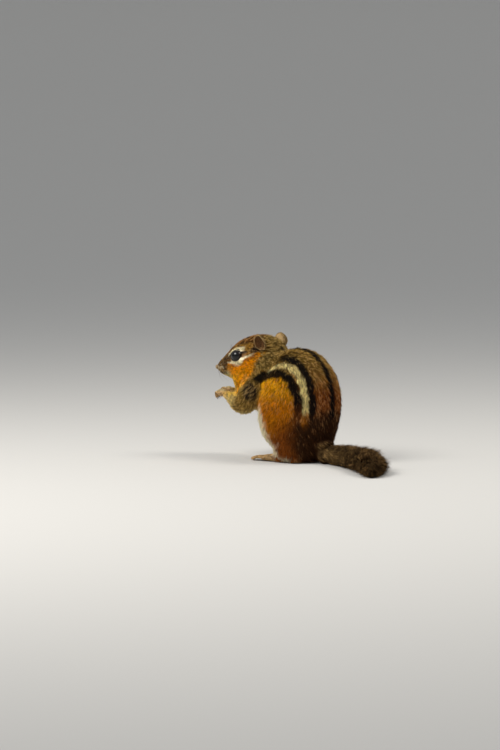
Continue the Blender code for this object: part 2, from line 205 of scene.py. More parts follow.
# The floor's profile as (radius, height)
SWEEP = (
    (2400.0, 0.0),
    (2900.0, 15.0),
    (3400.0, 60.0),
    (3900.0, 145.0),
    (4400.0, 290.0),
    (4800.0, 480.0),
    (5100.0, 720.0),
    (5300.0, 1020.0),
    (5400.0, 1400.0),
)
SWEEP_COLUMNS = 96

CAMERA_DISTANCE = 2.0
CAMERA_AZIMUTH = 134.0
CAMERA_ELEVATION = 4.5
PIXELS_PER_MM = 1.55
FRAME_WIDTH = 500
FRAME_HEIGHT = 750
ORIGIN_PIXEL = (310, 462)
SENSOR = 36.0


def ramp(low, high, value):
    t = np.clip((value - low) / (high - low), 0.0, 1.0)
    return t * t * (3.0 - 2.0 * t)


def unit(vectors):
    return vectors / np.maximum(np.linalg.norm(vectors, axis=-1, keepdims=True), 1e-9)


def splined(points, steps):
    """Points along a Catmull-Rom curve through rows of numbers."""
    rows = np.array(points, float)
    rows = np.vstack([2 * rows[0] - rows[1], rows, 2 * rows[-1] - rows[-2]])
    made = []
    for before, start, end, after in zip(rows, rows[1:], rows[2:], rows[3:]):
        for t in np.linspace(0.0, 1.0, steps, endpoint=False):
            made.append(
                0.5
                * (
                    2 * start
                    + (end - before) * t
                    + (2 * before - 5 * start + 4 * end - after) * t**2
                    + (3 * start - before - 3 * end + after) * t**3
                )
            )
    made.append(rows[-2])
    return np.array(made)


def along_surface(vectors, normals):
    """Directions without the part of them that runs along the normals."""
    return unit(vectors - (vectors * normals).sum(axis=1)[:, None] * normals)


def mirrored(points):
    """Points folded onto the animal's left side."""
    return np.c_[np.abs(points[:, 0]), points[:, 1:]]


def egg(points, centre, radii):
    """How far each point is from a centre, where 1 is on an egg of those radii."""
    return np.linalg.norm((points - np.array(centre)) / np.array(radii), axis=1)


def nearest_row(points, rows):
    return ((points[:, None] - rows[None]) ** 2).sum(axis=2).argmin(axis=1)


def turned_up(azimuth, elevation):
    """The direction out to an azimuth, counted from the front, and an elevation in degrees."""
    turn, rise = math.radians(azimuth), math.radians(elevation)
    return Vector((math.sin(turn) * math.cos(rise), -math.cos(turn) * math.cos(rise), math.sin(rise)))


def head_frame():
    turn = Matrix.Rotation(math.radians(HEAD_YAW), 4, "Z")
    tilt = Matrix.Rotation(math.radians(HEAD_PITCH), 4, "X")
    return Matrix.Translation(NOSE_TIP) @ turn @ tilt


def into(frame, points):
    """Points of the whole animal in the coordinates of a frame."""
    matrix = np.array(frame.inverted())
    return points @ matrix[:3, :3].T + matrix[:3, 3]


def out_of(frame, points):
    matrix = np.array(frame)
    return np.asarray(points, float) @ matrix[:3, :3].T + matrix[:3, 3]


def face_places(points):
    """Places in the head's frame as (side, back, up), folded onto one side."""
    return mirrored(into(head_frame(), points))


def turned(frame, vectors):
    return np.asarray(vectors, float) @ np.array(frame)[:3, :3].T


def value_noise(points, size, seed):
    """Smooth noise from 0 to 1 whose lumps are about size across."""
    scaled = points / size + 1000.0
    cell = np.floor(scaled).astype(np.int64)
    part = scaled - cell
    part = part * part * (3.0 - 2.0 * part)
    total = np.zeros(len(points))
    for corner in np.ndindex(2, 2, 2):
        place = cell + np.array(corner)
        mixed = place[:, 0] * 73856093 ^ place[:, 1] * 19349663 ^ place[:, 2] * 83492791 ^ seed * 2654435
        mixed = (mixed ^ (mixed >> 13)) * 1274126177 & 0xFFFFFFFF
        value = ((mixed ^ (mixed >> 16)) & 0xFFFF) / 65535.0
        weight = np.prod(np.where(corner, part, 1.0 - part), axis=1)
        total += value * weight
    return total


def round_angles(count):
    return np.linspace(0.0, 2 * math.pi, count, endpoint=False)


def ring_faces(rings, count, first=0, corners=(0, 1, 2, 3)):
    """Four-cornered faces between rings of points that follow one another."""
    faces = []
    for ring in range(rings - 1):
        for step in range(count):
            a = first + ring * count + step
            b = first + ring * count + (step + 1) % count
            around = (a, a + count, b + count, b)
            faces.append(tuple(around[corner] for corner in corners))
    return faces


def fan_faces(count):
    """Three-cornered faces from point 0 to the first ring."""
    return [(0, 1 + step, 1 + (step + 1) % count) for step in range(count)]


def tube(path, sides):
    """(points, faces) of a closed tube through (centre, half width, half height), wide along the level."""
    rows = np.array([(*centre, wide, high) for centre, wide, high in path], float)
    heading = unit(np.gradient(rows[:, :3], axis=0))
    level = unit(np.cross((0.0, 0.0, 1.0), heading) + np.array((1e-6, 0.0, 0.0)))
    rise = np.cross(heading, level)
    angle = round_angles(sides)
    across = np.cos(angle)[None, :, None] * (level * rows[:, 3:4])[:, None, :]
    upward = np.sin(angle)[None, :, None] * (rise * rows[:, 4:5])[:, None, :]
    points = (rows[:, None, :3] + across + upward).reshape(-1, 3)
    last = len(points) - sides
    ends = [tuple(range(sides)), tuple(range(last, len(points)))[::-1]]
    return points, ring_faces(len(rows), sides) + ends


def rounded_path(centres, radius, end=0.55):
    """A tube's path with a round tip."""
    rows = splined([(*centre, radius) for centre in centres], 5)
    heading = unit(rows[-1, :3] - rows[-2, :3])
    tip = [
        (rows[-1, :3] + heading * radius * 0.5 * end, radius * 0.86),
        (rows[-1, :3] + heading * radius * 0.85 * end, radius * 0.55),
        (rows[-1, :3] + heading * radius * end, radius * 0.12),
    ]
    path = [(tuple(row[:3]), row[3], row[3]) for row in rows]
    return path + [(tuple(centre), small, small) for centre, small in tip]


def ball(centre, radii, rows=16, columns=24):
    """(points, faces) of an ellipsoid."""
    points = [(0.0, 0.0, 1.0)]
    for row in range(1, rows):
        polar = math.pi * row / rows
        for column in range(columns):
            angle = 2 * math.pi * column / columns
            across = math.sin(polar) * math.cos(angle)
            points.append((across, math.sin(polar) * math.sin(angle), math.cos(polar)))
    points.append((0.0, 0.0, -1.0))
    faces = fan_faces(columns) + ring_faces(rows - 1, columns, 1)
    last = len(points) - 1
    base = last - columns
    faces += [(base + column, last, base + (column + 1) % columns) for column in range(columns)]
    return np.array(points) * np.array(radii) + np.array(centre), faces


def merged(parts):
    """One (points, faces) from several."""
    points, faces, first = [], [], 0
    for some_points, some_faces in parts:
        points.append(some_points)
        faces += [tuple(first + corner for corner in face) for face in some_faces]
        first += len(some_points)
    return np.vstack(points), faces


def toe_paths(side):
    """The paths of one hind foot's toes."""
    found = []
    for root, length in zip(TOE_ROOTS, TOE_LENGTHS):
        splay = (root - TOE_MIDDLE) * TOE_SPLAY
        centres = (
            (side * root, FOOT_FRONT + 3.0, 2.0),
            (side * (root + 2 * splay), FOOT_FRONT - 0.45 * length, 2.6),
            (side * (root + 4 * splay), FOOT_FRONT - length, 1.3),
        )
        found.append(centres)
    return found


def finger_paths(side):
    """(the palm's frame, the fingers' paths) of one forepaw."""
    centre, turn, roll = PALMS[side]
    frame = Matrix.Translation(centre) @ Matrix.Rotation(math.radians(-turn), 4, "Z")
    frame = frame @ Matrix.Rotation(math.radians(roll), 4, "Y")
    return frame, [
        [tuple(frame @ Vector((x + offset * (1 - 0.06 * abs(y)), y, z))) for x, y, z in FINGER]
        for offset in FINGER_OFFSETS
    ]


def foot_form(side):
    sole = splined([(side * x, y, z, wide, high) for (x, y, z), wide, high in SOLE], 4)
    parts = [tube([(tuple(row[:3]), row[3], row[4]) for row in sole], 20)]
    parts += [tube(rounded_path(centres, TOE_RADIUS, 0.9), 12) for centres in toe_paths(side)]
    return merged(parts)


def paw_form(side):
    frame, fingers = finger_paths(side)
    points, faces = ball((0.0, 0.0, 0.0), PALM_RADII)
    wrist = [(centre, radius, radius) for centre, radius in zip(ARMS[side][-3:], WRIST_RADII)]
    parts = [(out_of(frame, points), faces), tube(wrist, 16)]
    parts += [tube(rounded_path(centres, FINGER_RADIUS, 0.9), 12) for centres in fingers]
    return merged(parts)


def tail_form():
    rows = [(*TAIL_ROOT, TAIL_CORE[0])] + [(*centre, core) for (centre, _, _), core in zip(TAIL, TAIL_CORE)]
    return tube([(tuple(row[:3]), row[3], row[3]) for row in splined(rows, 6)], 20)


def new_mesh(name, points, faces):
    mesh = bpy.data.meshes.new(name)
    mesh.from_pydata((np.asarray(points) * MM).tolist(), [], [tuple(map(int, face)) for face in faces])
    mesh.validate()
    return mesh


def new_object(name, mesh):
    made = bpy.data.objects.new(name, mesh)
    bpy.context.scene.collection.objects.link(made)
    return made


def points_of(mesh):
    points = np.empty(len(mesh.vertices) * 3)
    mesh.vertices.foreach_get("co", points)
    return points.reshape(-1, 3) / MM


def settled(made):
    """The object's (points, triangles) with its modifiers applied, after which it is removed."""
    graph = bpy.context.evaluated_depsgraph_get()
    mesh = bpy.data.meshes.new_from_object(made.evaluated_get(graph))
    points = points_of(mesh)
    mesh.calc_loop_triangles()
    triangles = np.empty(len(mesh.loop_triangles) * 3, np.int64)
    mesh.loop_triangles.foreach_get("vertices", triangles)
    bpy.data.objects.remove(made)
    bpy.data.meshes.remove(mesh)
    return points, triangles.reshape(-1, 3)


def node_arrays(node):
    return points_of(node.data), [tuple(face.vertices) for face in node.data.polygons]


def normals_of(points, triangles):
    a, b, c = (points[triangles[:, i]] for i in range(3))
    face = np.cross(b - a, c - a)
    total = np.zeros_like(points)
    for corner in range(3):
        for axis in range(3):
            total[:, axis] += np.bincount(triangles[:, corner], face[:, axis], len(points))
    return unit(total)


def edges_of(triangles):
    ends = np.vstack([triangles[:, [0, 1]], triangles[:, [1, 2]], triangles[:, [2, 0]]])
    return np.unique(np.sort(ends, axis=1), axis=0)


def relaxed(values, edges, rounds, share=0.5):
    """Values of the vertices, each drawn towards the mean of its neighbours."""
    values = np.array(values, float)
    flat = values.reshape(len(values), -1)
    count = np.bincount(edges.ravel(), minlength=len(values))[:, None]
    for _ in range(rounds):
        total = np.empty_like(flat)
        for column in range(flat.shape[1]):
            total[:, column] = np.bincount(edges[:, 0], flat[edges[:, 1], column], len(flat))
            total[:, column] += np.bincount(edges[:, 1], flat[edges[:, 0], column], len(flat))
        flat += share * (total / np.maximum(count, 1) - flat)
    return flat.reshape(values.shape)


def nearest_regions(points, nodes):
    """The index in REGIONS of the CAD node that each point is nearest to."""
    parts, labels = [], []
    for name, node in sorted(nodes.items()):
        region = NODE_REGION.get(name.split("_")[0])
        if region:
            some = node_arrays(node)
            parts.append(some)
            labels += [REGIONS.index(region)] * len(some[1])
    all_points, all_faces = merged(parts)
    tree = BVHTree.FromPolygons(all_points.tolist(), all_faces)
    found = np.array([labels[tree.find_nearest(point)[2]] for point in points.tolist()])
    found[at_tail_root(points)] = REGIONS.index("tail")
    return found


def tail_axis(points):
    """Each point's nearest place on the tail's centre line by Y, and the core's radius there."""
    rows = np.array([(*centre, core) for (centre, _, _), core in zip(TAIL, TAIL_CORE)])
    place = points.copy()
    place[:, 0] = np.interp(points[:, 1], rows[:, 1], rows[:, 0])
    place[:, 2] = np.interp(points[:, 1], rows[:, 1], rows[:, 2])
    return place, np.interp(points[:, 1], rows[:, 1], rows[:, 3])


def at_tail_root(points):
    """Whether each point is on the stretch of tail that the CAD part's trunk holds."""
    axis, _ = tail_axis(points)
    near = np.linalg.norm(points - axis, axis=1) < TAIL_ROOT_REACH
    return near & (points[:, 1] > TAIL_STARTS) & (points[:, 1] < TAIL_STUB_END + 2.0)


def without_tail_stub(points):
    """The trunk's points with the start of the tail on it drawn in, to end inside the tail's core."""
    axis, core = tail_axis(points)
    away = points - axis
    radius = np.linalg.norm(away, axis=1)
    near = (radius < TAIL_ROOT_REACH) & (points[:, 1] > TAIL_STARTS - 3.0)
    share = ramp(TAIL_STUB_END, TAIL_STARTS - 3.0, points[:, 1])
    wanted = (core - 0.8) * (1.0 - share) + radius * share
    scale = np.where(near & (radius > wanted), wanted / np.maximum(radius, 1e-6), 1.0)
    return axis + away * scale[:, None]


class Surface:
    """Places on the animal's skin, with what the markings and the coat need to know at each."""

    def __init__(self, points, normals, weights, **more):
        self.points = points
        self.normals = normals
        self.weights = weights
        self.depth = more.get("depth")
        self.shade = more.get("shade")
        self.bare = more.get("bare")
        self.flow = more.get("flow")

    def weight(self, region):
        return self.weights[:, REGIONS.index(region)]


def region_weights(labels, edges):
    """How much each vertex belongs to each region, blended where regions meet."""
    return relaxed(np.eye(len(REGIONS))[labels], edges, FIELD_SMOOTHING)


def spine_curve():
    rows = splined(SPINE, 40)
    heading = unit(np.gradient(rows, axis=0))
    along = np.concatenate([[0.0], np.cumsum(np.linalg.norm(np.diff(rows, axis=0), axis=1))])
    return rows, heading, along


def spine_coordinates(points):
    """How far along the back each point lies, how far round from it, and the back's heading there."""
    rows, heading, along = spine_curve()
    batches = [points[start : start + POINTS_AT_ONCE, 1:] for start in range(0, len(points), POINTS_AT_ONCE)]
    nearest = np.concatenate([nearest_row(batch, rows) for batch in batches])
    away = points[:, 1:] - rows[nearest]
    tangent = heading[nearest]
    dorsal = away[:, 0] * tangent[:, 1] - away[:, 1] * tangent[:, 0]
    across = np.abs(points[:, 0])
    radius = np.hypot(across, dorsal)
    return along[nearest], np.arctan2(across, dorsal) * radius, tangent


def distance_to_line(points, line):
    """Distance of each point from a line, and how far along the line its nearest place is, from 0 to 1."""
    rows = np.array(line, float)
    best = np.full(len(points), 1e9)
    place = np.zeros(len(points))
    for index, (start, end) in enumerate(zip(rows, rows[1:])):
        step = end - start
        t = np.clip(((points - start) @ step) / (step @ step), 0.0, 1.0)
        distance = np.linalg.norm(points - start - t[:, None] * step, axis=1)
        closer = distance < best
        best[closer] = distance[closer]
        place[closer] = (index + t)[closer]
    return best, place / (len(rows) - 1)


def coat_depth(surface):
    """How far the skin lies inside the CAD part."""
    points, weight = surface.points, surface.weight
    face = face_places(points)
    _, back, up = face.T
    cheek = ramp(16.0, 28.0, back) * ramp(3.0, -6.0, up)
    head = np.interp(back, HEAD_PLACES, HEAD_DEPTHS) + 0.5 * cheek
    eye = np.linalg.norm(face - np.array(EYE_CENTRE), axis=1)
    head *= 0.35 + 0.65 * ramp(4.6, 8.0, eye)
    wrist = ramp(-50.0, -66.0, points[:, 1])
    arm = 1.3 - 0.8 * wrist
    depth = weight("head") * head + weight("neck") * 1.9 + weight("trunk") * 2.2
    depth += weight("arm") * arm + weight("paw") * 0.1 + weight("foot") * 0.2
    return depth


def flesh_form(nodes):
    """(points, triangles) of one closed surface round the flesh, the feet, the paws and the tail's core."""
    parts = [node_arrays(node) for name, node in sorted(nodes.items()) if name.split("_")[0] in COPIED]
    copied_points, copied_faces = merged(parts)
    copied = new_object("copied", new_mesh("copied", without_tail_stub(copied_points), copied_faces))
    weld = copied.modifiers.new("weld", "WELD")
    weld.merge_threshold = 0.01 * MM
    grow = copied.modifiers.new("grow", "DISPLACE")
    grow.strength = GAP * MM
    grow.mid_level = 0.0
    grown, faces = settled(copied)
    built = [foot_form(side) for side in SIDES] + [paw_form(side) for side in SIDES]
    built += [tail_form(), ball(*RUMP_PLUG)]
    form = new_object("form", new_mesh("form", *merged([(grown, faces.tolist())] + built)))
    remesh = form.modifiers.new("remesh", "REMESH")
    remesh.mode = "VOXEL"
    remesh.voxel_size = SKIN_VOXEL * MM
    return settled(form)


def eye_frame(side):
    """A frame at the eye's centre whose x axis looks out of the eye."""
    gaze = Vector((side * 0.96, 0.06, 0.14)).normalized()
    level = Vector((0.0, 1.0, 0.0))
    level = (level - gaze * level.dot(gaze)).normalized()
    rise = gaze.cross(level) * side
    axes = Matrix((gaze, level, rise)).transposed().to_4x4()
    return head_frame() @ Matrix.Translation(EYE_CENTRE * Vector((side, 1.0, 1.0))) @ axes


# The lids' opening: how far its edge is from the gaze at the back, in front and above, and how pointed it is
LID_BACK = math.radians(78.0)
LID_FRONT = math.radians(68.0)
LID_HIGH = math.radians(47.0)
LID_POINT = 1.65
# The rim of the lids, outwards, as (past the edge, proud of the eyeball, how dark)
LID_PROFILE = (
    (-0.10, -0.06, 1.0),
    (0.00, 0.06, 1.0),
    (0.03, 0.24, 1.0),
    (0.09, 0.36, 0.9),
    (0.17, 0.40, 0.3),
    (0.27, 0.36, 0.0),
    (0.40, 0.20, 0.0),
    (0.55, -0.20, 0.0),
)
LID_COLUMNS = 56


def lid_edge(angle):
    """How far from the gaze the lids' edge stands, for an angle round the eye from its back corner."""
    long = np.where(np.cos(angle) > 0, LID_BACK, LID_FRONT)
    lengthways = np.abs(np.cos(angle) / long) ** LID_POINT
    upward = np.abs(np.sin(angle) / LID_HIGH) ** LID_POINT
    return (lengthways + upward) ** (-1.0 / LID_POINT)


def lid_form(side):
    """(points, faces, shade, bare) of the rim of one eye's lids, where shade is 1 at its dark edge."""
    angle = round_angles(LID_COLUMNS)
    rings = []
    for past, proud, _ in LID_PROFILE:
        lean = lid_edge(angle) + past
        ring = np.c_[np.cos(lean), np.sin(lean) * np.cos(angle), np.sin(lean) * np.sin(angle)]
        rings.append(ring * (EYE_RADIUS + proud))
    faces = ring_faces(len(rings), LID_COLUMNS, corners=(0, 3, 2, 1)[::side])
    shade = np.repeat([dark for _, _, dark in LID_PROFILE], LID_COLUMNS)
    ring = np.repeat(np.arange(len(rings)), LID_COLUMNS)
    bare = np.where((ring < 4) | (ring > 6), 1.0, 0.0)
    return out_of(eye_frame(side), np.vstack(rings)), faces, shade, bare


def past_lids(local, radius):
    """How far past the lids' edge places in the eye's frame are, and their angle round the eye."""
    lean = np.arccos(np.clip(local[:, 0] / radius, -1.0, 1.0))
    angle = np.arctan2(local[:, 2], local[:, 1])
    return lean - lid_edge(angle), angle


def make_room_for_eyes(points):
    """Draws the skin in under each eyeball and lays it against the lids."""
    points = points.copy()
    for side in SIDES:
        frame = eye_frame(side)
        local = into(frame, points)
        radius = np.linalg.norm(local, axis=1)
        near = np.flatnonzero((radius < EYE_REACH + 1.0) & (local[:, 0] > -1.0))
        past, _ = past_lids(local[near], radius[near])
        under = ramp(0.12, -0.02, past)
        ridge = EYE_RADIUS + np.interp(past, (0.0, 0.2, 0.5, 0.8), (0.1, 0.25, 0.1, -0.4))
        raised = np.maximum(radius[near], ridge * ramp(0.95, 0.4, past))
        wanted = raised * (1 - under) + (EYE_RADIUS - 0.5) * under
        local[near] *= (wanted / radius[near])[:, None]
        points[near] = out_of(frame, local[near])
    return points


def round_eye(points):
    """How far past the nearer eye's lids each place is, its angle round the eye and its distance from it."""
    left, right = (into(eye_frame(side), points) for side in SIDES)
    local = np.where(into(head_frame(), points)[:, :1] > 0.0, left, right)
    radius = np.maximum(np.linalg.norm(local, axis=1), 1e-6)
    return *past_lids(local, radius), radius


def under_eye(points):
    """1 where the skin lies under an eyeball or its lids' edges, and so has no hair."""
    past, _, radius = round_eye(points)
    return ramp(0.30, 0.16, past) * (radius < EYE_REACH - 1.0)


def over_eye(points):
    """Whether each place lies over the opening between the lids."""
    past, _, radius = round_eye(points)
    return (past < 0.08) & (radius < EYE_REACH)


def nose_form():
    """(points, faces, shade, bare) of the nose pad with its nostrils, where shade is painted shade: full in
    the nostrils' dents and half in the groove.
    """
    points, faces = ball((0.0, 0.0, 0.0), (1.0, 1.0, 1.0), 28, 40)
    place = points * NOSE_RADII
    front = ramp(0.0, -0.4, points[:, 1])
    across = np.abs(place[:, 0])
    slit = (across - 0.95) / 0.42
    nostril = np.exp(-(slit**2) - ((place[:, 2] - 0.1 - 0.35 * (across - 0.8)) / 0.27) ** 2) * front
    groove = np.exp(-((place[:, 0] / 0.13) ** 2)) * ramp(0.3, -0.4, place[:, 2]) * front
    place[:, 1] += 0.75 * nostril + 0.3 * groove
    place[:, 2] += 0.12 * np.exp(-(((across - 0.95) / 0.5) ** 2)) * front
    shade = np.clip(nostril + 0.5 * groove, 0.0, 1.0)
    return out_of(head_frame(), place + np.array(NOSE_CENTRE)), faces, shade, np.ones(len(points))


# An ear's section from the bottom of its cup over the rim to its back, as (spread, out)
EAR_PROFILE = (
    (0.02, -1.9),
    (0.30, -1.8),
    (0.52, -1.45),
    (0.70, -0.9),
    (0.84, -0.2),
    (0.93, 0.45),
    (0.975, 0.85),
    (1.00, 1.05),
    (1.035, 1.0),
    (1.055, 0.7),
    (1.05, 0.1),
    (1.02, -0.7),
    (0.95, -1.6),
    (0.80, -2.4),
    (0.50, -3.0),
    (0.05, -3.2),
)
EAR_WIDE = 3.85
EAR_HIGH = 4.95
EAR_COLUMNS = 48
EAR_ROOT_RING = 12


def ear_frame(side):
    turn = Matrix.Rotation(math.radians(-side * EAR_TURN), 4, "Z")
    lean = Matrix.Rotation(math.radians(side * EAR_LEAN), 4, "Y")
    return head_frame() @ Matrix.Translation(EAR_CENTRE * Vector((side, 1.0, 1.0))) @ turn @ lean


def ear_form(side):
    """(points, faces, shade, bare) of one ear, where shade is 1 inside the cup and 0 outside."""
    count = EAR_COLUMNS
    angle = round_angles(count)
    rings = []
    for spread, out in EAR_PROFILE:
        narrow = 1.0 - 0.10 * np.sin(angle)
        back = EAR_WIDE * spread * np.cos(angle) * narrow
        up = EAR_HIGH * spread * np.sin(angle)
        flare = 0.55 * np.cos(angle) * spread - 1.1 * spread * ramp(-0.35, -1.0, np.sin(angle))
        roll = -0.35 * spread**3 * ramp(0.5, 1.0, np.sin(angle))
        rings.append(np.c_[side * (out + flare + roll), back, up])
    faces = ring_faces(len(rings), count, corners=(0, 1, 2, 3)[::-side])
    for ring, order in ((0, 1), (len(rings) - 1, -1)):
        first = ring * count
        faces.append(tuple(range(first, first + count))[:: order * side])
    ring = np.repeat(np.arange(len(rings)), count)
    shade = ramp(8.5, 5.5, ring)
    bare = (ring > EAR_ROOT_RING).astype(float)
    return out_of(ear_frame(side), np.vstack(rings)), faces, shade, bare


MOUTH = ((0.0, 1.3, -2.2), (1.6, 2.2, -2.9), (3.3, 5.0, -4.3), (4.8, 8.0, -5.4), (5.8, 10.2, -5.8))


def on_mouth(points):
    """1 on the line of the mouth, which has no hair."""
    distance, _ = distance_to_line(face_places(points), MOUTH)
    return ramp(0.6, 0.35, distance)


def shape_muzzle(points, normals):
    """Presses in the mouth's line and lifts the whisker pads."""
    face = face_places(points)
    distance, _ = distance_to_line(face, MOUTH)
    press = 0.5 * np.exp(-((distance / 0.45) ** 2))
    lift = 0.35 * ramp(1.2, 0.3, egg(face, (3.6, 5.2, -2.0), (2.6, 3.6, 2.2)))
    return points + normals * (lift - press)[:, None]


# Colours as seen in daylight, from 0 to 255
PALETTE = {
    "black": (13, 11, 12),
    "cream": (236, 216, 150),
    "gold": (252, 186, 14),
    "ochre": (198, 116, 6),
    "rust": (150, 80, 22),
    "deep_rust": (66, 37, 16),
    "olive": (154, 120, 54),
    "pale_hair": (250, 232, 172),
    "dark_hair": (34, 27, 20),
    "shoulder": (148, 120, 60),
    "cheek": (250, 164, 4),
    "throat": (244, 204, 92),
    "belly": (246, 232, 200),
    "arm": (150, 118, 54),
    "arm_pale": (234, 212, 142),
    # The dark end of the shoulder stripe, which is also painted shade between arm and flank
    "shoulder_stripe_and_shade": (48, 37, 26),
    "paw": (196, 156, 104),
    "foot": (170, 136, 88),
    "tail": (54, 36, 18),
    "frost": (160, 126, 78),
    "crown": (112, 70, 20),
    "crown_dark": (48, 31, 18),
    "brow": (176, 130, 52),
    "eye_line": (252, 238, 200),
    "eye_dark": (46, 34, 28),
    "muzzle": (102, 72, 28),
    "whisker_pad": (160, 124, 68),
    "chin": (206, 188, 136),
    "nose": (140, 110, 80),
    # Painted shade inside the nostrils and the groove of the nose
    "nostril": (60, 36, 30),
    "ear_inside": (140, 98, 58),
    # A painted highlight along the ears' rims
    "ear_rim_highlight": (204, 172, 118),
    "ear_back": (164, 134, 86),
    "lid": (14, 11, 10),
}

# The side's stripes as distances round the body from the mid-line, at places along the back
STRIPE_PLACES = (20.0, 37.0, 42.0, 50.0, 55.0, 58.5, 61.7, 65.0, 70.0)
CREAM_STRIPE = (18.2, 18.2, 18.2, 18.3, 18.9, 19.9, 22.1, 24.2, 27.0)
SIDE_STRIPE = (22.4, 22.4, 23.0, 24.0, 25.2, 27.3, 29.0, 31.0, 34.0)
INNER_STRIPE = 14.3
SHOULDER_STRIPE = (
    (19.6, -11.0, 57.2),
    (17.9, -18.5, 56.8),
    (14.4, -29.1, 53.9),
    (15.8, -33.1, 51.2),
    (17.4, -34.8, 46.5),
    (18.0, -38.0, 42.5),
)
# Where the shoulder stripe ends on the arm: a dark patch that is partly the stripe and partly painted shade
# between arm and flank
SHOULDER_STRIPE_END_AND_SHADE = (17.6, -37.0, 44.0)

# Lines of the face in the head's frame, as (side, back, up)
LINE_BELOW_EYE = (
    (9.0, 14.0, 1.2),
    (10.4, 16.5, 0.6),
    (12.3, 21.4, 0.3),
    (13.1, 26.8, 1.5),
    (13.4, 31.8, 2.4),
    (13.1, 36.6, 3.0),
    (12.8, 39.5, 3.8),
)
LINE_ABOVE_EYE = (
    (7.4, 15.6, 6.2),
    (8.2, 19.7, 8.4),
    (9.6, 24.0, 8.9),
    (10.4, 29.0, 8.8),
    (10.6, 33.5, 8.8),
)
LINE_THROUGH_EYE = (
    (3.5, 9.0, 4.4),
    (7.5, 14.5, 4.4),
    (11.0, 19.0, 4.2),
    (12.4, 28.5, 5.6),
    (12.6, 35.0, 6.4),
)
PATCH_BELOW_EAR = (12.6, 38.5, 6.4)
EYE_CORNERS = ((9.6, 18.0, 4.2), (12.0, 27.8, 5.3))
RUST_LINE_DROP = 1.9
# Edges of the golden cheek at the back, the chest below, the throat behind and the belly at the side
CHEEK_HEIGHTS = (-14.0, -9.9, -5.9, -1.4, 3.3)
CHEEK_ENDS = (30.5, 33.2, 36.4, 40.5, 43.5)
CHEST_PLACES = (-59.0, -50.0, -42.0, -36.0)
CHEST_HEIGHTS = (40.5, 42.0, 48.0, 58.0)
NECK_HEIGHTS = (42.0, 50.6, 55.1, 59.7, 65.0, 70.1)
NECK_ENDS = (-42.5, -39.9, -38.5, -36.6, -33.6, -32.1)
BELLY_HEIGHTS = (0.0, 5.0, 10.0, 18.0, 25.0, 32.0, 38.0, 43.0)
BELLY_ANGLES = (70.0, 76.0, 84.0, 86.0, 82.0, 68.0, 48.0, 30.0)


def linear(name):
    """A colour of the palette as light adds up."""
    share = np.array(PALETTE[name]) / 255.0
    return np.where(share <= 0.04045, share / 12.92, ((share + 0.055) / 1.055) ** 2.4)


def painted(colour, name, mask):
    """The colours with a palette colour laid over them."""
    return colour + np.clip(mask, 0.0, 1.0)[:, None] * (linear(name) - colour)


def within(value, centre, half_width, soft):
    """1 in a band round the centre, with soft edges."""
    return ramp(half_width + soft, half_width - soft, np.abs(value - centre))


def from_front(normals):
    """How many degrees each normal is turned away from the front, as seen from above."""
    return np.degrees(np.arctan2(np.abs(normals[:, 0]), -normals[:, 1]))


def on_shoulder_stripe(points):
    distance, _ = distance_to_line(mirrored(points), SHOULDER_STRIPE)
    return ramp(4.1, 2.5, distance)


def plain(count, name):
    return np.tile(linear(name), (count, 1))


def flank_colour(points, across, lumps):
    """Gold at the shoulder, going to ochre, rust and dark brown down the haunch."""
    colour = painted(plain(len(points), "gold"), "ochre", ramp(0.25, 0.75, lumps) * 0.5)
    colour = painted(colour, "ochre", 0.9 * ramp(52.0, 38.0, points[:, 2] + 6.0 * lumps))
    height = points[:, 2] + 0.45 * (across - 30.0) + 5.0 * value_noise(points, 3.0, 4)
    colour = painted(colour, "rust", ramp(35.0, 21.0, height))
    return painted(colour, "deep_rust", 0.2 * ramp(20.0, 4.0, height))


def belly_share(points, normals):
    edge = np.interp(points[:, 2], BELLY_HEIGHTS, BELLY_ANGLES)
    turned_away = from_front(normals) + 16 * (value_noise(points, 1.5, 5) - 0.2)
    front = ramp(edge + 10.0, edge - 10.0, turned_away) * ramp(4.0, -4.0, points[:, 1])
    below = ramp(-0.35, -0.7, normals[:, 2]) * ramp(2.0, -6.0, points[:, 1])
    return np.maximum(front, below)


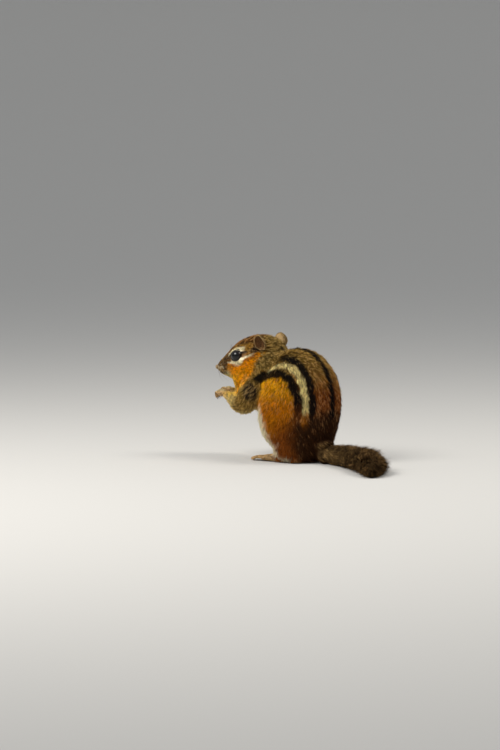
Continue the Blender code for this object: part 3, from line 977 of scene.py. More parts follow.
def trunk_markings(surface):
    """(colour, share of grizzled hairs) of the back, flanks, haunches and belly."""
    points = surface.points
    along, across, _ = spine_coordinates(points)
    across = across + (value_noise(points, 2.4, 1) - 0.5) * 1.1
    ragged = along + (value_noise(points, 1.6, 2) - 0.5) * 5.0
    lumps = value_noise(points, 4.5, 3)
    low = ramp(38.0, 14.0, points[:, 2])
    colour = painted(plain(len(points), "olive"), "rust", ramp(54.0, 36.0, ragged))
    colour = painted(colour, "deep_rust", ramp(34.0, 14.0, ragged))
    colour = painted(colour, "shoulder", ramp(60.0, 68.0, ragged))
    flank = ramp(23.0 - 3.0 * low, 27.0 + 12.0 * low, across + 5.0 * low * (lumps - 0.5))
    colour = colour + flank[:, None] * (flank_colour(points, across, lumps) - colour)
    grizzle = (0.9 - 0.4 * flank) * (0.12 + 0.88 * ramp(20.0, 42.0, points[:, 2]))
    cream_place = np.interp(along, STRIPE_PLACES, CREAM_STRIPE)
    side_place = np.interp(along, STRIPE_PLACES, SIDE_STRIPE)
    edging = within(across, cream_place, 2.2, 0.8) * ramp(12.0, 22.0, ragged)
    cream = within(across, cream_place, 2.1, 0.5) * ramp(19.0, 31.0, ragged)
    cream = cream * ramp(68.0, 64.0, along)
    colour = painted(colour, "ochre", 0.7 * edging)
    colour = painted(colour, "cream", cream)
    side = within(across, side_place, 2.5, 0.7) * ramp(60.0, 55.0, along)
    side = side * ramp(22.0, 37.0, ragged)
    side = np.maximum(side, on_shoulder_stripe(points) * ramp(-6.0, -10.0, points[:, 1]))
    inner = within(across, INNER_STRIPE, 2.05, 0.6) * ramp(8.0, 26.0, ragged)
    inner = inner * ramp(63.0, 60.0, along)
    middle = within(across, 0.0, 2.3, 0.6) * ramp(6.0, 20.0, ragged)
    middle = middle * ramp(72.0, 66.0, along)
    for stripe in (side, inner, middle):
        colour = painted(colour, "black", 0.97 * stripe)
        grizzle = grizzle * (1.0 - 0.9 * stripe)
    grizzle = grizzle * (1.0 - 0.6 * cream)
    belly = belly_share(points, surface.normals)
    colour = painted(colour, "belly", belly * ramp(62.0, 50.0, points[:, 2]))
    return colour, grizzle * (1.0 - 0.8 * belly)


def neck_markings(surface):
    """The nape is grizzled, the throat golden and cream."""
    points, normals = surface.points, surface.normals
    trunk, grizzle = trunk_markings(surface)
    end = np.interp(points[:, 2], NECK_HEIGHTS, NECK_ENDS)
    noise = value_noise(points, 2.0, 6) * 3.0
    nape = ramp(0.6, 0.9, normals[:, 2] + 0.25 * value_noise(points, 3.0, 7))
    colour = painted(trunk, "shoulder", 0.85 * ramp(-24.0, -31.0, points[:, 1] + noise) * (1 - nape))
    colour = painted(colour, "shoulder", 0.6 * nape * ramp(-26.0, -32.0, points[:, 1]))
    stripe = on_shoulder_stripe(points)
    colour = painted(colour, "black", 0.95 * stripe)
    throat = ramp(end + 1.0, end - 1.5, points[:, 1] + noise - 1.5)
    colour = painted(colour, "cheek", throat)
    facing = from_front(normals)
    front = ramp(80.0, 50.0, facing + 12 * value_noise(points, 2.5, 8))
    front = front * ramp(-36.0, -44.0, points[:, 1])
    colour = painted(colour, "throat", 0.9 * front)
    colour = painted(colour, "belly", front * ramp(44.0, 24.0, facing))
    return colour, np.maximum(grizzle, 1.0) * (1 - 0.6 * throat) * (1 - stripe)


def cheek_colours(colour, points, face, noise):
    """The golden cheek with the rust line along its top. Returns the colours and the cheek's share."""
    _, back, up = face.T
    _, backs, ups = np.array(LINE_BELOW_EYE).T
    line = np.interp(back, backs, ups)
    end = np.interp(up, CHEEK_HEIGHTS, CHEEK_ENDS)
    cheek = ramp(line + 0.3, line - 1.1, up)
    cheek = cheek * ramp(12.5, 16.0, back - 0.35 * np.minimum(up, 0.0) + 2 * noise)
    ragged = back + 7 * noise + 9 * (value_noise(points, 0.8, 20) - 0.5)
    cheek = cheek * ramp(end + 1.6, end - 1.6, ragged)
    colour = painted(colour, "cheek", cheek)
    colour = painted(colour, "gold", 0.6 * cheek * ramp(-3.0, -9.0, up))
    behind = ramp(end - 1.2, end + 1.2, ragged) * ramp(6.0, 2.0, up)
    colour = painted(colour, "shoulder", behind)
    rust, _ = distance_to_line(face + np.array((0.0, 0.0, RUST_LINE_DROP)), LINE_BELOW_EYE)
    rust = ramp(1.3, 0.4, rust + noise) * ramp(15.0, 18.0, back)
    return painted(colour, "rust", 0.75 * rust), cheek


def muzzle_colours(colour, points, face):
    """The whisker pads with their specks."""
    pad = egg(face, (3.8, 5.6, -2.2), (2.8, 4.4, 2.6))
    specks = value_noise(points, 0.75, 11)
    colour = painted(colour, "whisker_pad", ramp(1.3, 0.7, pad))
    colour = painted(colour, "crown_dark", 0.7 * ramp(0.55, 0.7, specks) * ramp(1.4, 0.8, pad))
    return painted(colour, "eye_line", 0.6 * ramp(0.42, 0.3, specks) * ramp(1.6, 0.9, pad))


def throat_colours(colour, surface, face, noise):
    """The pale chin and throat."""
    side, back, up = face.T
    chin = ramp(-4.0, -6.5, up - 0.28 * back + 2.2) * ramp(17.0, 11.0, back)
    colour = painted(colour, "chin", chin)
    throat = ramp(10.5, 6.0, side + 3 * noise) * ramp(-6.0, -9.0, up)
    colour = painted(colour, "throat", 0.8 * throat)
    facing = from_front(surface.normals)
    front = ramp(78.0, 46.0, facing + 20 * (noise + 0.5))
    front = front * ramp(58.0, 52.0, surface.points[:, 2])
    colour = painted(colour, "throat", 0.9 * front)
    return painted(colour, "belly", 0.8 * front * ramp(46.0, 28.0, facing)), chin


def eye_colours(colour, points, face, noise):
    """The pale lines round the eye, its dark corners and the dark line through it."""
    back = face[:, 1]
    above, _ = distance_to_line(face, LINE_ABOVE_EYE)
    below, _ = distance_to_line(face, LINE_BELOW_EYE)
    through, place = distance_to_line(face, LINE_THROUGH_EYE)
    past, angle, radius = round_eye(points)
    ring = ramp(0.60, 0.35, past + 0.2 * noise) * (radius < EYE_REACH)
    colour = painted(colour, "eye_line", ring * ramp(0.25, 0.6, np.abs(np.sin(angle))))
    for corner in EYE_CORNERS:
        colour = painted(colour, "lid", ramp(1.7, 1.0, np.linalg.norm(face - np.array(corner), axis=1)))
    fade = ramp(0.0, 0.08, place) * ramp(1.0, 0.85, place)
    colour = painted(colour, "eye_dark", 0.9 * ramp(1.5, 0.7, through + 0.6 * noise) * fade)
    ear_patch = egg(face, PATCH_BELOW_EAR, (3.0, 4.2, 2.4))
    colour = painted(colour, "eye_dark", 0.9 * ramp(1.25, 0.7, ear_patch + 0.4 * noise))
    upper = ramp(1.6, 0.9, above + 0.3 * noise) * ramp(32.0, 26.0, back)
    colour = painted(colour, "eye_line", upper)
    narrow = 0.45 * ramp(26.0, 35.0, back) + 0.55 * ramp(21.5, 15.0, back)
    lower = ramp(1.5, 0.85, below + narrow + 0.3 * noise) * ramp(40.0, 34.0, back)
    colour = painted(colour, "eye_line", lower)
    return colour, np.maximum(ramp(1.6, 0.9, above), ramp(1.6, 0.9, below))


def head_markings(surface):
    """The face's lines, the golden cheek and the grizzled crown."""
    points = surface.points
    local = into(head_frame(), points)
    face = mirrored(local)
    _, back, up = face.T
    noise = value_noise(points, 1.5, 9) - 0.5
    colour = painted(plain(len(points), "muzzle"), "crown", ramp(9.0, 18.0, back))
    lengthways = value_noise(local / np.array((1.3, 7.0, 1.3)), 1.0, 10)
    streak = ramp(0.45, 0.75, lengthways) * ramp(10.0, 18.0, back) * ramp(6.0, 9.0, up)
    colour = painted(colour, "crown_dark", 0.8 * streak)
    colour = painted(colour, "shoulder", ramp(40.0, 45.0, back + 3 * noise))
    above, _ = distance_to_line(face, LINE_ABOVE_EYE)
    through, _ = distance_to_line(face, LINE_THROUGH_EYE)
    colour = painted(colour, "brow", 0.85 * ramp(4.4, 1.6, above) * ramp(17.0, 22.0, back))
    colour = painted(colour, "brow", 0.6 * ramp(3.6, 2.0, through) * ramp(26.0, 31.0, back))
    colour, cheek = cheek_colours(colour, points, face, noise)
    colour = muzzle_colours(colour, points, face)
    colour, chin = throat_colours(colour, surface, face, noise)
    colour = painted(colour, "eye_dark", 0.8 * ramp(0.55, 0.2, distance_to_line(face, MOUTH)[0]))
    colour, lines = eye_colours(colour, points, face, noise)
    ungrizzled = np.maximum.reduce([cheek * 0.5, lines, chin])
    return colour, (0.7 + 0.4 * ramp(32.0, 42.0, back)) * (1.0 - ungrizzled)


def chest_colour(points, normals, ragged):
    """The chest between the forelegs, golden at the sides and pale in the middle."""
    colour = painted(plain(len(points), "throat"), "cheek", 0.85 * ramp(44.0, 51.0, ragged))
    facing = from_front(normals)
    inner = ramp(11.0, 7.0, np.abs(points[:, 0]))
    colour = painted(colour, "throat", inner * ramp(72.0, 50.0, facing))
    return painted(colour, "belly", 0.9 * inner * ramp(50.0, 30.0, facing))


def arm_markings(surface):
    """Olive outside, pale inside and at the wrist, dark at the shoulder where the stripe ends and as painted
    shade between arm and flank, with the chest above.
    """
    points, normals = surface.points, surface.normals
    count = len(points)
    inward = -np.sign(points[:, 0]) * normals[:, 0]
    wrist = ramp(-48.0, -60.0, points[:, 1])
    upward = 0.75 * normals[:, 2] + 0.6 * inward + 0.3 * (value_noise(points, 2.0, 12) - 0.5)
    top = ramp(0.15, 0.75, upward)
    colour = painted(plain(count, "arm"), "arm_pale", top * (0.6 + 0.4 * wrist))
    colour = painted(colour, "arm_pale", 0.5 * wrist)
    colour = painted(colour, "arm_pale", 0.5 * ramp(-0.5, -0.9, normals[:, 2]))
    ragged = points[:, 2] + 3.0 * (value_noise(points, 1.8, 19) - 0.5)
    above = ragged - np.interp(points[:, 1], CHEST_PLACES, CHEST_HEIGHTS)
    chest = chest_colour(points, normals, ragged)
    colour = colour + ramp(-1.5, 1.5, above)[:, None] * (chest - colour)
    # The dark patch at the shoulder is the stripe's end and also painted shade between arm and flank
    patch = egg(mirrored(points), SHOULDER_STRIPE_END_AND_SHADE, (6.0, 5.0, 6.5))
    colour = painted(colour, "shoulder_stripe_and_shade", 0.95 * ramp(1.25, 0.7, patch))
    return painted(colour, "paw", 0.6 * ramp(-62.0, -68.0, points[:, 1])), np.full(count, 0.8)


def paw_markings(surface):
    count = len(surface.points)
    mottled = painted(plain(count, "paw"), "foot", value_noise(surface.points, 1.2, 13))
    mottled = painted(mottled, "chin", 0.7 * ramp(0.3, 0.9, surface.normals[:, 2]))
    return mottled, np.full(count, 0.2)


def foot_markings(surface):
    points = surface.points
    toes = ramp(-24.0, -34.0, points[:, 1])
    colour = painted(plain(len(points), "foot"), "paw", 0.6 * toes + 0.3 * value_noise(points, 1.2, 14))
    colour = painted(colour, "rust", 0.35 * ramp(-14.0, -4.0, points[:, 1]))
    return colour, np.full(len(points), 0.35)


def tail_markings(surface):
    edge = ramp(0.5, 0.95, np.abs(surface.normals[:, 0] * 0.9 + 0.4 * surface.normals[:, 1]))
    root = ramp(14.0, 2.0, surface.points[:, 1])
    colour = painted(plain(len(surface.points), "tail"), "frost", 0.35 * edge * (1.0 - root))
    return painted(colour, "rust", 0.35 * root), np.full(len(surface.points), 0.4)


def ear_markings(surface):
    inside = surface.shade
    # The pale band on the rim's top is a painted highlight
    colour = painted(plain(len(inside), "ear_back"), "ear_rim_highlight", ramp(0.0, 0.4, inside))
    return painted(colour, "ear_inside", ramp(0.55, 1.0, inside)), 0.8 * (1.0 - inside)


def lid_markings(surface):
    colour, grizzle = head_markings(surface)
    return painted(colour, "lid", ramp(0.1, 0.6, surface.shade)), grizzle


def nose_markings(surface):
    colour = painted(plain(len(surface.points), "nose"), "chin", value_noise(surface.points, 0.5, 15) * 0.4)
    # Painted shade: the nostrils' dents and the groove are darkened with the nostril colour
    return painted(colour, "nostril", surface.shade), np.zeros(len(surface.points))


MARKINGS = {
    "head": head_markings,
    "neck": neck_markings,
    "trunk": trunk_markings,
    "arm": arm_markings,
    "paw": paw_markings,
    "foot": foot_markings,
    "tail": tail_markings,
    "ear": ear_markings,
    "lid": lid_markings,
    "nose": nose_markings,
}


def markings(surface):
    """(colour, share of grizzled hairs) at every place of a surface, blended where regions meet."""
    colour = np.zeros((len(surface.points), 3))
    grizzle = np.zeros(len(surface.points))
    for region, paint in MARKINGS.items():
        weight = surface.weight(region)
        here = np.flatnonzero(weight > 0.01)
        if len(here):
            some_colour, some_grizzle = paint(part_of(surface, here))
            colour[here] += weight[here, None] * some_colour
            grizzle[here] += weight[here] * some_grizzle
    total = np.maximum(surface.weights.sum(axis=1), 1e-6)
    return colour / total[:, None], grizzle / total


def part_of(surface, chosen):
    """Some places of a surface, moved out to where the coat's surface is."""
    picked = {name: getattr(surface, name)[chosen] for name in ("depth", "shade", "bare")}
    points = surface.points[chosen] + surface.normals[chosen] * surface.depth[chosen, None]
    return Surface(points, surface.normals[chosen], surface.weights[chosen], **picked)


def tail_curve():
    """Rows of centre, half width, half height and core radius along the tail, with its heading."""
    rows = splined([(*centre, wide, high, core) for (centre, wide, high), core in zip(TAIL, TAIL_CORE)], 12)
    return rows, unit(np.gradient(rows[:, :3], axis=0))


def tail_guide(points):
    """(direction of the hair, how far it may reach) on the tail's core."""
    rows, heading = tail_curve()
    nearest = nearest_row(points, rows[:, :3])
    away = along_surface(points - rows[nearest, :3], heading[nearest])
    level = unit(np.cross((0.0, 0.0, 1.0), heading[nearest]))
    across = (away * level).sum(axis=1)
    upward = np.sqrt(np.clip(1 - across**2, 0, 1))
    envelope = 1.0 / np.hypot(across / rows[nearest, 3], upward / rows[nearest, 4])
    return heading[nearest], np.maximum(envelope - rows[nearest, 5], 0.8)


def arm_guide(points):
    """Along each foreleg, from the shoulder to the paw."""
    guide = np.zeros_like(points)
    for side in SIDES:
        rows = splined(ARMS[side], 8)
        heading = unit(np.gradient(rows, axis=0))
        here = np.flatnonzero(points[:, 0] * side > -ARM_OVERLAP)
        guide[here] = heading[nearest_row(points[here], rows)]
    return guide


def lie_of_hair(points, normals, weights):
    """The direction that the hair points in, along the surface."""
    share = {region: weights[:, index : index + 1] for index, region in enumerate(REGIONS)}
    _, across, tangent = spine_coordinates(points)
    down = np.array((0.0, 0.0, -1.0))
    back = np.c_[np.zeros(len(points)), -tangent]
    flank = ramp(12.0, 30.0, across)[:, None]
    trunk = unit(back * (1 - 0.6 * flank) + down * (0.25 + 0.8 * flank))
    spread = into(head_frame(), points) * np.array((0.05, 0.0, 0.04)) + np.array((0.0, 1.0, -0.12))
    head = unit(turned(head_frame(), spread))
    guide = trunk * (share["trunk"] + 0.6 * share["neck"])
    guide += head * (share["head"] + share["lid"] + 0.4 * share["neck"])
    guide += arm_guide(points) * share["arm"]
    guide += np.array((0.0, -1.0, -0.1)) * (share["paw"] + share["foot"])
    guide += tail_guide(points)[0] * share["tail"]
    for side in SIDES:
        here = ((points[:, 0] > HEAD_MIDDLE) == (side > 0))[:, None]
        centre = out_of(ear_frame(side), np.array((0.0, 0.0, -7.0)))
        guide += np.where(here, unit(points - centre), 0.0) * share["ear"]
    return along_surface(guide, normals)


# Tufts of each region: how many to a square millimetre, their length and their width
TUFTS = {
    "neck": (9.0, 3.6, 0.24),
    "trunk": (7.6, 4.4, 0.27),
    "arm": (10.0, 2.8, 0.19),
    "paw": (12.0, 0.8, 0.08),
    "foot": (12.0, 1.1, 0.10),
    "tail": (24.0, 6.0, 0.28),
    "ear": (20.0, 1.5, 0.12),
    "lid": (24.0, 0.9, 0.09),
    "nose": (0.0, 0.5, 0.05),
}
# Along the head from its front: the coat's depth, and the same three measures of its tufts
HEAD_PLACES = (0.0, 5.0, 12.0, 22.0, 32.0, 44.0)
HEAD_DEPTHS = (0.15, 0.35, 0.55, 0.9, 1.25, 1.5)
HEAD_TUFTS = (
    (26.0, 24.0, 20.0, 16.0, 12.0, 10.0),
    (0.6, 0.9, 1.4, 2.2, 3.0, 3.8),
    (0.08, 0.10, 0.13, 0.17, 0.21, 0.25),
)


def tuft_measures(surface):
    """(tufts per square millimetre, length, width) at each place."""
    back = into(head_frame(), surface.points)[:, 1]
    head = np.c_[tuple(np.interp(back, HEAD_PLACES, row) for row in HEAD_TUFTS)]
    found = surface.weight("head")[:, None] * head
    for region, row in TUFTS.items():
        found += surface.weight(region)[:, None] * np.array(row)
    found /= np.maximum(surface.weights.sum(axis=1), 1e-6)[:, None]
    found[:, 0] *= 1.0 - surface.bare
    return found.T


def body_form(nodes):
    """(points, triangles) of the skin of the whole body, drawn in by the coat's depth."""
    points, triangles = flesh_form(nodes)
    edges = edges_of(triangles)
    points = relaxed(points, edges, 4)
    normals = unit(relaxed(normals_of(points, triangles), edges, 6))
    rough = Surface(points, normals, region_weights(nearest_regions(points, nodes), edges))
    grown = GAP * sum(rough.weight(region) for region in ("head", "neck", "trunk", "arm"))
    points = points - normals * (coat_depth(rough) + grown)[:, None]
    points = relaxed(points, edges, 2, 0.3)
    points = make_room_for_eyes(shape_muzzle(points, normals))
    whole = new_object("whole", new_mesh("whole", points, triangles))
    fewer = whole.modifiers.new("fewer", "DECIMATE")
    fewer.ratio = min(1.0, SKIN_FACES / len(triangles))
    return settled(whole)


def make_skin(nodes):
    """The body's surface with lids, ears and nose, ready for markings and coat."""
    points, triangles = body_form(nodes)
    bare = np.maximum(under_eye(points), on_mouth(points))
    parts = [(points, triangles.tolist())]
    shades, bares, labels = [np.zeros(len(points))], [bare], [nearest_regions(points, nodes)]
    for region, forms in (
        ("lid", [lid_form(side) for side in SIDES]),
        ("ear", [ear_form(side) for side in SIDES]),
        ("nose", [nose_form()]),
    ):
        for some_points, faces, shade, some_bare in forms:
            parts.append((some_points, faces))
            shades.append(shade)
            bares.append(some_bare)
            labels.append(np.full(len(some_points), REGIONS.index(region)))
    skin = new_object("skin", new_mesh("skin", *merged(parts)))
    points, triangles = arrays_of_triangulated(skin.data)
    edges = edges_of(triangles)
    weights = region_weights(np.concatenate(labels), edges)
    smooth = unit(relaxed(normals_of(points, triangles), edges, 4))
    surface = Surface(points, smooth, weights, shade=np.concatenate(shades), bare=np.concatenate(bares))
    surface.depth = coat_depth(surface)
    flow = relaxed(lie_of_hair(points, smooth, weights), edges, FLOW_SMOOTHING)
    surface.flow = along_surface(flow, smooth)
    return skin, surface, triangles


def arrays_of_triangulated(mesh):
    """Splits the mesh's faces into triangles and returns its (points, triangles)."""
    work = bmesh.new()
    work.from_mesh(mesh)
    bmesh.ops.triangulate(work, faces=work.faces)
    work.to_mesh(mesh)
    work.free()
    mesh.shade_smooth()
    triangles = np.empty(len(mesh.polygons) * 3, np.int64)
    mesh.polygons.foreach_get("vertices", triangles)
    return points_of(mesh), triangles.reshape(-1, 3)


def unwrap(made):
    """Unfolds the skin without overlaps and returns each triangle's three places on it."""
    made.data.uv_layers.new(name="OFBake")
    bpy.context.view_layer.objects.active = made
    made.select_set(True)
    bpy.ops.object.mode_set(mode="EDIT")
    bpy.ops.mesh.select_all(action="SELECT")
    bpy.ops.uv.smart_project(angle_limit=math.radians(66.0), island_margin=0.001)
    bpy.ops.object.mode_set(mode="OBJECT")
    made.select_set(False)
    places = np.empty(len(made.data.loops) * 2, np.float32)
    made.data.uv_layers["OFBake"].uv.foreach_get("vector", places)
    return places.reshape(-1, 3, 2)


def store_colours(mesh, colours):
    attribute = mesh.color_attributes.new("markings", "FLOAT_COLOR", "POINT")
    attribute.data.foreach_set("color", np.c_[colours, np.ones(len(colours))].astype(np.float32).ravel())


def plant_roots(surface, triangles, places, random):
    """The tufts' roots, spread over the skin by each region's density, and their places on the unwrap."""
    density, _, _ = tuft_measures(surface)
    corners = surface.points[triangles]
    across, onward = corners[:, 1] - corners[:, 0], corners[:, 2] - corners[:, 0]
    area = np.linalg.norm(np.cross(across, onward), axis=1) / 2
    amount = area * density[triangles].mean(axis=1)
    amount *= min(1.0, TUFT_BUDGET / amount.sum())
    counts = np.diff(np.floor(np.concatenate([[0.0], np.cumsum(amount)])).astype(int))
    chosen = np.repeat(np.arange(len(triangles)), counts)
    first, second = random.random((2, len(chosen)))
    over = first + second > 1.0
    first[over], second[over] = 1.0 - first[over], 1.0 - second[over]
    share = np.c_[1.0 - first - second, first, second]

    def blended(values):
        picked = values[triangles[chosen]]
        return np.einsum("nk,nk...->n...", share, picked)

    more = {name: blended(getattr(surface, name)) for name in ("depth", "shade", "bare")}
    normals = unit(blended(surface.normals))
    roots = Surface(blended(surface.points), normals, blended(surface.weights), **more)
    roots.flow = along_surface(blended(surface.flow), roots.normals)
    return roots, np.einsum("nk,nkd->nd", share, places[chosen])


def hair_colours(roots, random):
    """Colours of each tuft's root, middle and tip."""
    _, length, _ = tuft_measures(roots)
    places = roots.points + roots.flow * (SEEN_AT * length)[:, None]
    more = {name: getattr(roots, name) for name in ("depth", "shade", "bare")}
    colour, grizzle = markings(Surface(places, roots.normals, roots.weights, **more))
    count = len(colour)
    clusters = ramp(0.15, 0.85, value_noise(places, CLUSTER, 18))
    shading = ramp(0.2, 0.8, value_noise(places, CLUSTER, 16))
    draw = 0.25 * random.random(count) + 0.75 * clusters
    strands = 0.55 * random.random(count) + 0.75 * shading
    contrast = 0.45 + 0.55 * ramp(0.0, 0.4, grizzle)
    strand = colour * (1.0 + contrast * (strands - 0.58))[:, None]
    darker = (draw < 0.05 + 0.34 * grizzle)[:, None]
    paler = (draw > 0.97 - 0.36 * grizzle)[:, None]
    middle = np.where(darker, 0.7 * strand + 0.3 * linear("dark_hair"), strand)
    hue = colour / colour.max(axis=1, keepdims=True)
    pale = linear("pale_hair") * (0.4 + 0.6 * hue)
    middle = np.where(paler, 0.5 * strand + 0.5 * pale, middle)
    tip = np.where(paler, 0.3 * strand + 0.7 * pale, strand * np.array((1.22, 1.3, 1.25)))
    tip = np.where(darker, 0.12 * strand + 0.7 * linear("dark_hair"), tip)
    outwards = ramp(8.0, 22.0, roots.points[:, 1]) * roots.weight("tail")
    frosted = outwards[:, None] * (random.random(count) < 0.3)[:, None]
    tip = tip + 0.8 * frosted * (linear("frost") - tip)
    return middle * 0.45, middle, tip


def skin_colours(surface):
    """The markings on the skin, broken up in the same places as the hairs' colours."""
    colour, grizzle = markings(surface)
    strands = 0.6 + 0.55 * ramp(0.2, 0.8, value_noise(surface.points, CLUSTER, 16))
    dark = ramp(0.36, 0.26, value_noise(surface.points, CLUSTER, 18)) * (0.4 + 0.4 * grizzle)
    broken = colour * strands[:, None]
    broken = broken + dark[:, None] * (linear("dark_hair") - broken)
    return colour + (1.0 - surface.bare)[:, None] * (broken - colour)


def gathered(line, roots, random):
    """Draws the tufts' ends together into locks round some of the tufts."""
    leaders = np.flatnonzero(random.random(len(line)) < LOCK_SHARE)
    tree = KDTree(len(leaders))
    for index, leader in enumerate(leaders.tolist()):
        tree.insert(roots.points[leader], index)
    tree.balance()
    chosen = leaders[[tree.find(point)[1] for point in roots.points.tolist()]]
    toward = line[chosen] - line
    far = np.linalg.norm(toward[:, 0], axis=1)
    pull = LOCK_PULL * ramp(LOCK_REACH, 0.5, far) * (1.0 - roots.weight("head") * 0.4)
    line[:, 1] += 0.35 * pull[:, None] * toward[:, 1]
    line[:, 2] += pull[:, None] * toward[:, 2]
    return line


def lifted(along, normals, lean):
    """Directions along the surface, leaning away from it by an angle."""
    return along * np.cos(lean)[:, None] + normals * np.sin(lean)[:, None]


def tuft_shapes(roots, random):
    """(line, width, direction across) of the tufts, where the line is the root, middle and tip of each."""
    _, length, width = tuft_measures(roots)
    count = len(length)
    tail = roots.weight("tail") > 0.5
    _, tail_reach = tail_guide(roots.points)
    near_end = ramp(70.0, 86.0, roots.points[:, 1])
    bushy = 1.0 + 0.35 * random.random(count) ** 3
    reach = np.where(tail, tail_reach * bushy * (1.08 - 0.5 * near_end), roots.depth)
    length = length * (0.75 + 0.45 * random.random(count))
    stray = random.random(count) < STRAY_SHARE
    length[stray & ~tail] *= STRAY_LENGTH
    wanted = tail_reach * (1.45 + 0.5 * random.random(count)) + 3.0 + 2.0 * near_end
    length[tail] = wanted[tail]
    lean = np.arcsin(np.clip(reach * (0.72 + 0.38 * random.random(count)) / length, 0.03, 0.8))
    lean[stray] += np.radians(STRAY_LEAN)
    lumps = value_noise(roots.points, 2.2, 17) - 0.5
    swing = np.radians(lumps * SWING + random.normal(0.0, 9.0, count))
    cross = np.cross(roots.normals, roots.flow)
    along = roots.flow * np.cos(swing)[:, None] + cross * np.sin(swing)[:, None]
    rise = lifted(along, roots.normals, np.minimum(lean + np.radians(11.0), 1.2))
    fall = lifted(along, roots.normals, np.maximum(lean - np.radians(10.0), 0.02))
    start = roots.points - roots.normals * ROOT_DEPTH
    middle = start + rise * (MIDDLE_AT * length)[:, None]
    tip = middle + fall * ((1.0 - MIDDLE_AT) * length)[:, None]
    line = gathered(np.stack([start, middle, tip], axis=1), roots, random)
    width = width * (0.8 + 0.4 * random.random(count)) * np.where(stray, 0.6, 1.0)
    return line, width, cross


RING_ANGLES = np.radians((90.0, 210.0, 330.0))
TUFT_FACES = ((2, 1, 0), (0, 1, 4, 3), (1, 2, 5, 4), (2, 0, 3, 5), (3, 4, 6), (4, 5, 6), (5, 3, 6))
TUFT_POINTS = 7
ROOT_DEPTH = 0.15
MIDDLE_AT = 0.48
LOWEST_HAIR = 0.12


def tuft_vertices(line, width, cross):
    """The seven points of each tuft: a three-sided ring at the root, another at the middle, and the tip."""
    points = np.empty((len(line), TUFT_POINTS, 3))
    for ring, (spread, flat) in enumerate(((0.7, 0.7), (1.0, 0.6))):
        heading = unit(line[:, ring + 1] - line[:, ring])
        side = along_surface(cross, heading)
        top = np.cross(heading, side)
        for corner, angle in enumerate(RING_ANGLES):
            offset = side * math.cos(angle) + top * math.sin(angle) * flat
            points[:, ring * 3 + corner] = line[:, ring] + offset * (0.5 * spread * width)[:, None]
    points[:, 6] = line[:, 2]
    points[..., 2] = np.maximum(points[..., 2], LOWEST_HAIR)
    return points


def tuft_mesh(name, points, colours, places):
    """One mesh of many tufts, each a patch at its root's place on the skin's unwrap."""
    count = len(points)
    corners = np.concatenate([np.array(face) for face in TUFT_FACES])
    sizes = np.array([len(face) for face in TUFT_FACES])
    mesh = bpy.data.meshes.new(name)
    mesh.vertices.add(count * TUFT_POINTS)
    mesh.vertices.foreach_set("co", (points * MM).astype(np.float32).ravel())
    loops = (np.arange(count)[:, None] * TUFT_POINTS + corners[None]).ravel()
    mesh.loops.add(len(loops))
    mesh.loops.foreach_set("vertex_index", loops.astype(np.int32))
    starts = np.concatenate([[0], np.cumsum(np.tile(sizes, count))[:-1]])
    mesh.polygons.add(len(starts))
    mesh.polygons.foreach_set("loop_start", starts.astype(np.int32))
    mesh.update(calc_edges=True)
    mesh.shade_smooth()
    across = np.array((0.0, -0.5, 0.5, 0.0, -0.5, 0.5, 0.0))
    upward = np.array((-0.5, -0.5, -0.5, 0.0, 0.0, 0.0, 0.5))
    patch = places[:, None] + TUFT_PATCH * np.c_[across, upward][None]
    layer = mesh.uv_layers.new(name="OFBake")
    layer.uv.foreach_set("vector", patch.reshape(-1, 2)[loops].astype(np.float32).ravel())
    root, middle, tip = colours
    store_colours(mesh, np.stack([root, root, root, middle, middle, middle, tip], axis=1).reshape(-1, 3))
    return mesh


def make_coat(surface, triangles, places, material):
    """The coat's pieces: of the head, the body and the tail, each split into interleaved shares."""
    random = np.random.default_rng(SEED)
    # The coat was settled with the draws that come after the first one
    random.random()
    roots, root_places = plant_roots(surface, triangles, places, random)
    colours = hair_colours(roots, random)
    line, width, cross = tuft_shapes(roots, random)
    points = tuft_vertices(line, width, cross)
    root, middle, tip = line.transpose(1, 0, 2)
    clear = ~(over_eye(middle) | over_eye(tip) | over_eye((root + middle) / 2))
    front = roots.weight("head") + roots.weight("ear") + roots.weight("lid") > 0.5
    rear = roots.weight("tail") > 0.5
    for part, chosen in (("head", front), ("tail", rear), ("body", ~front & ~rear)):
        here = np.flatnonzero(chosen & clear)
        pieces = math.ceil(len(here) / TUFTS_PER_PIECE)
        for piece in range(pieces):
            some = here[piece::pieces]
            name = f"coat_{part}_{piece + 1}"
            mesh = tuft_mesh(name, points[some], [colour[some] for colour in colours], root_places[some])
            made = new_object(name, mesh)
            mesh.materials.append(material)
            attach(made, "root")


# Of each material its roughness and specular level, then its mottling as (scale, darkest, lightest) and its
# bumps as (strength, distance in metres)
LOOKS = {
    "skin": (0.62, 0.3, (1400.0, 0.7, 1.2), (0.6, 0.0003)),
    "coat": (0.6, 0.1, (900.0, 0.82, 1.15), (0.15, 0.0001)),
    "eye": (0.05, 0.4, (1800.0, 0.6, 1.4), None),
    "claw": (0.35, 0.5, (2600.0, 0.75, 1.25), (0.2, 0.0001)),
    "whisker": (0.4, 0.5, (2600.0, 0.75, 1.25), (0.2, 0.0001)),
}


def set_values(node, values):
    for name, value in values.items():
        node.inputs[name].default_value = value


def new_material(name, values):
    """(material, its node tree, its shader)"""
    material = bpy.data.materials.new(name)
    material.use_nodes = True
    shader = material.node_tree.nodes["Principled BSDF"]
    set_values(shader, values)
    return material, material.node_tree, shader


def add_noise(tree, values):
    noise = tree.nodes.new("ShaderNodeTexNoise")
    set_values(noise, values)
    return noise


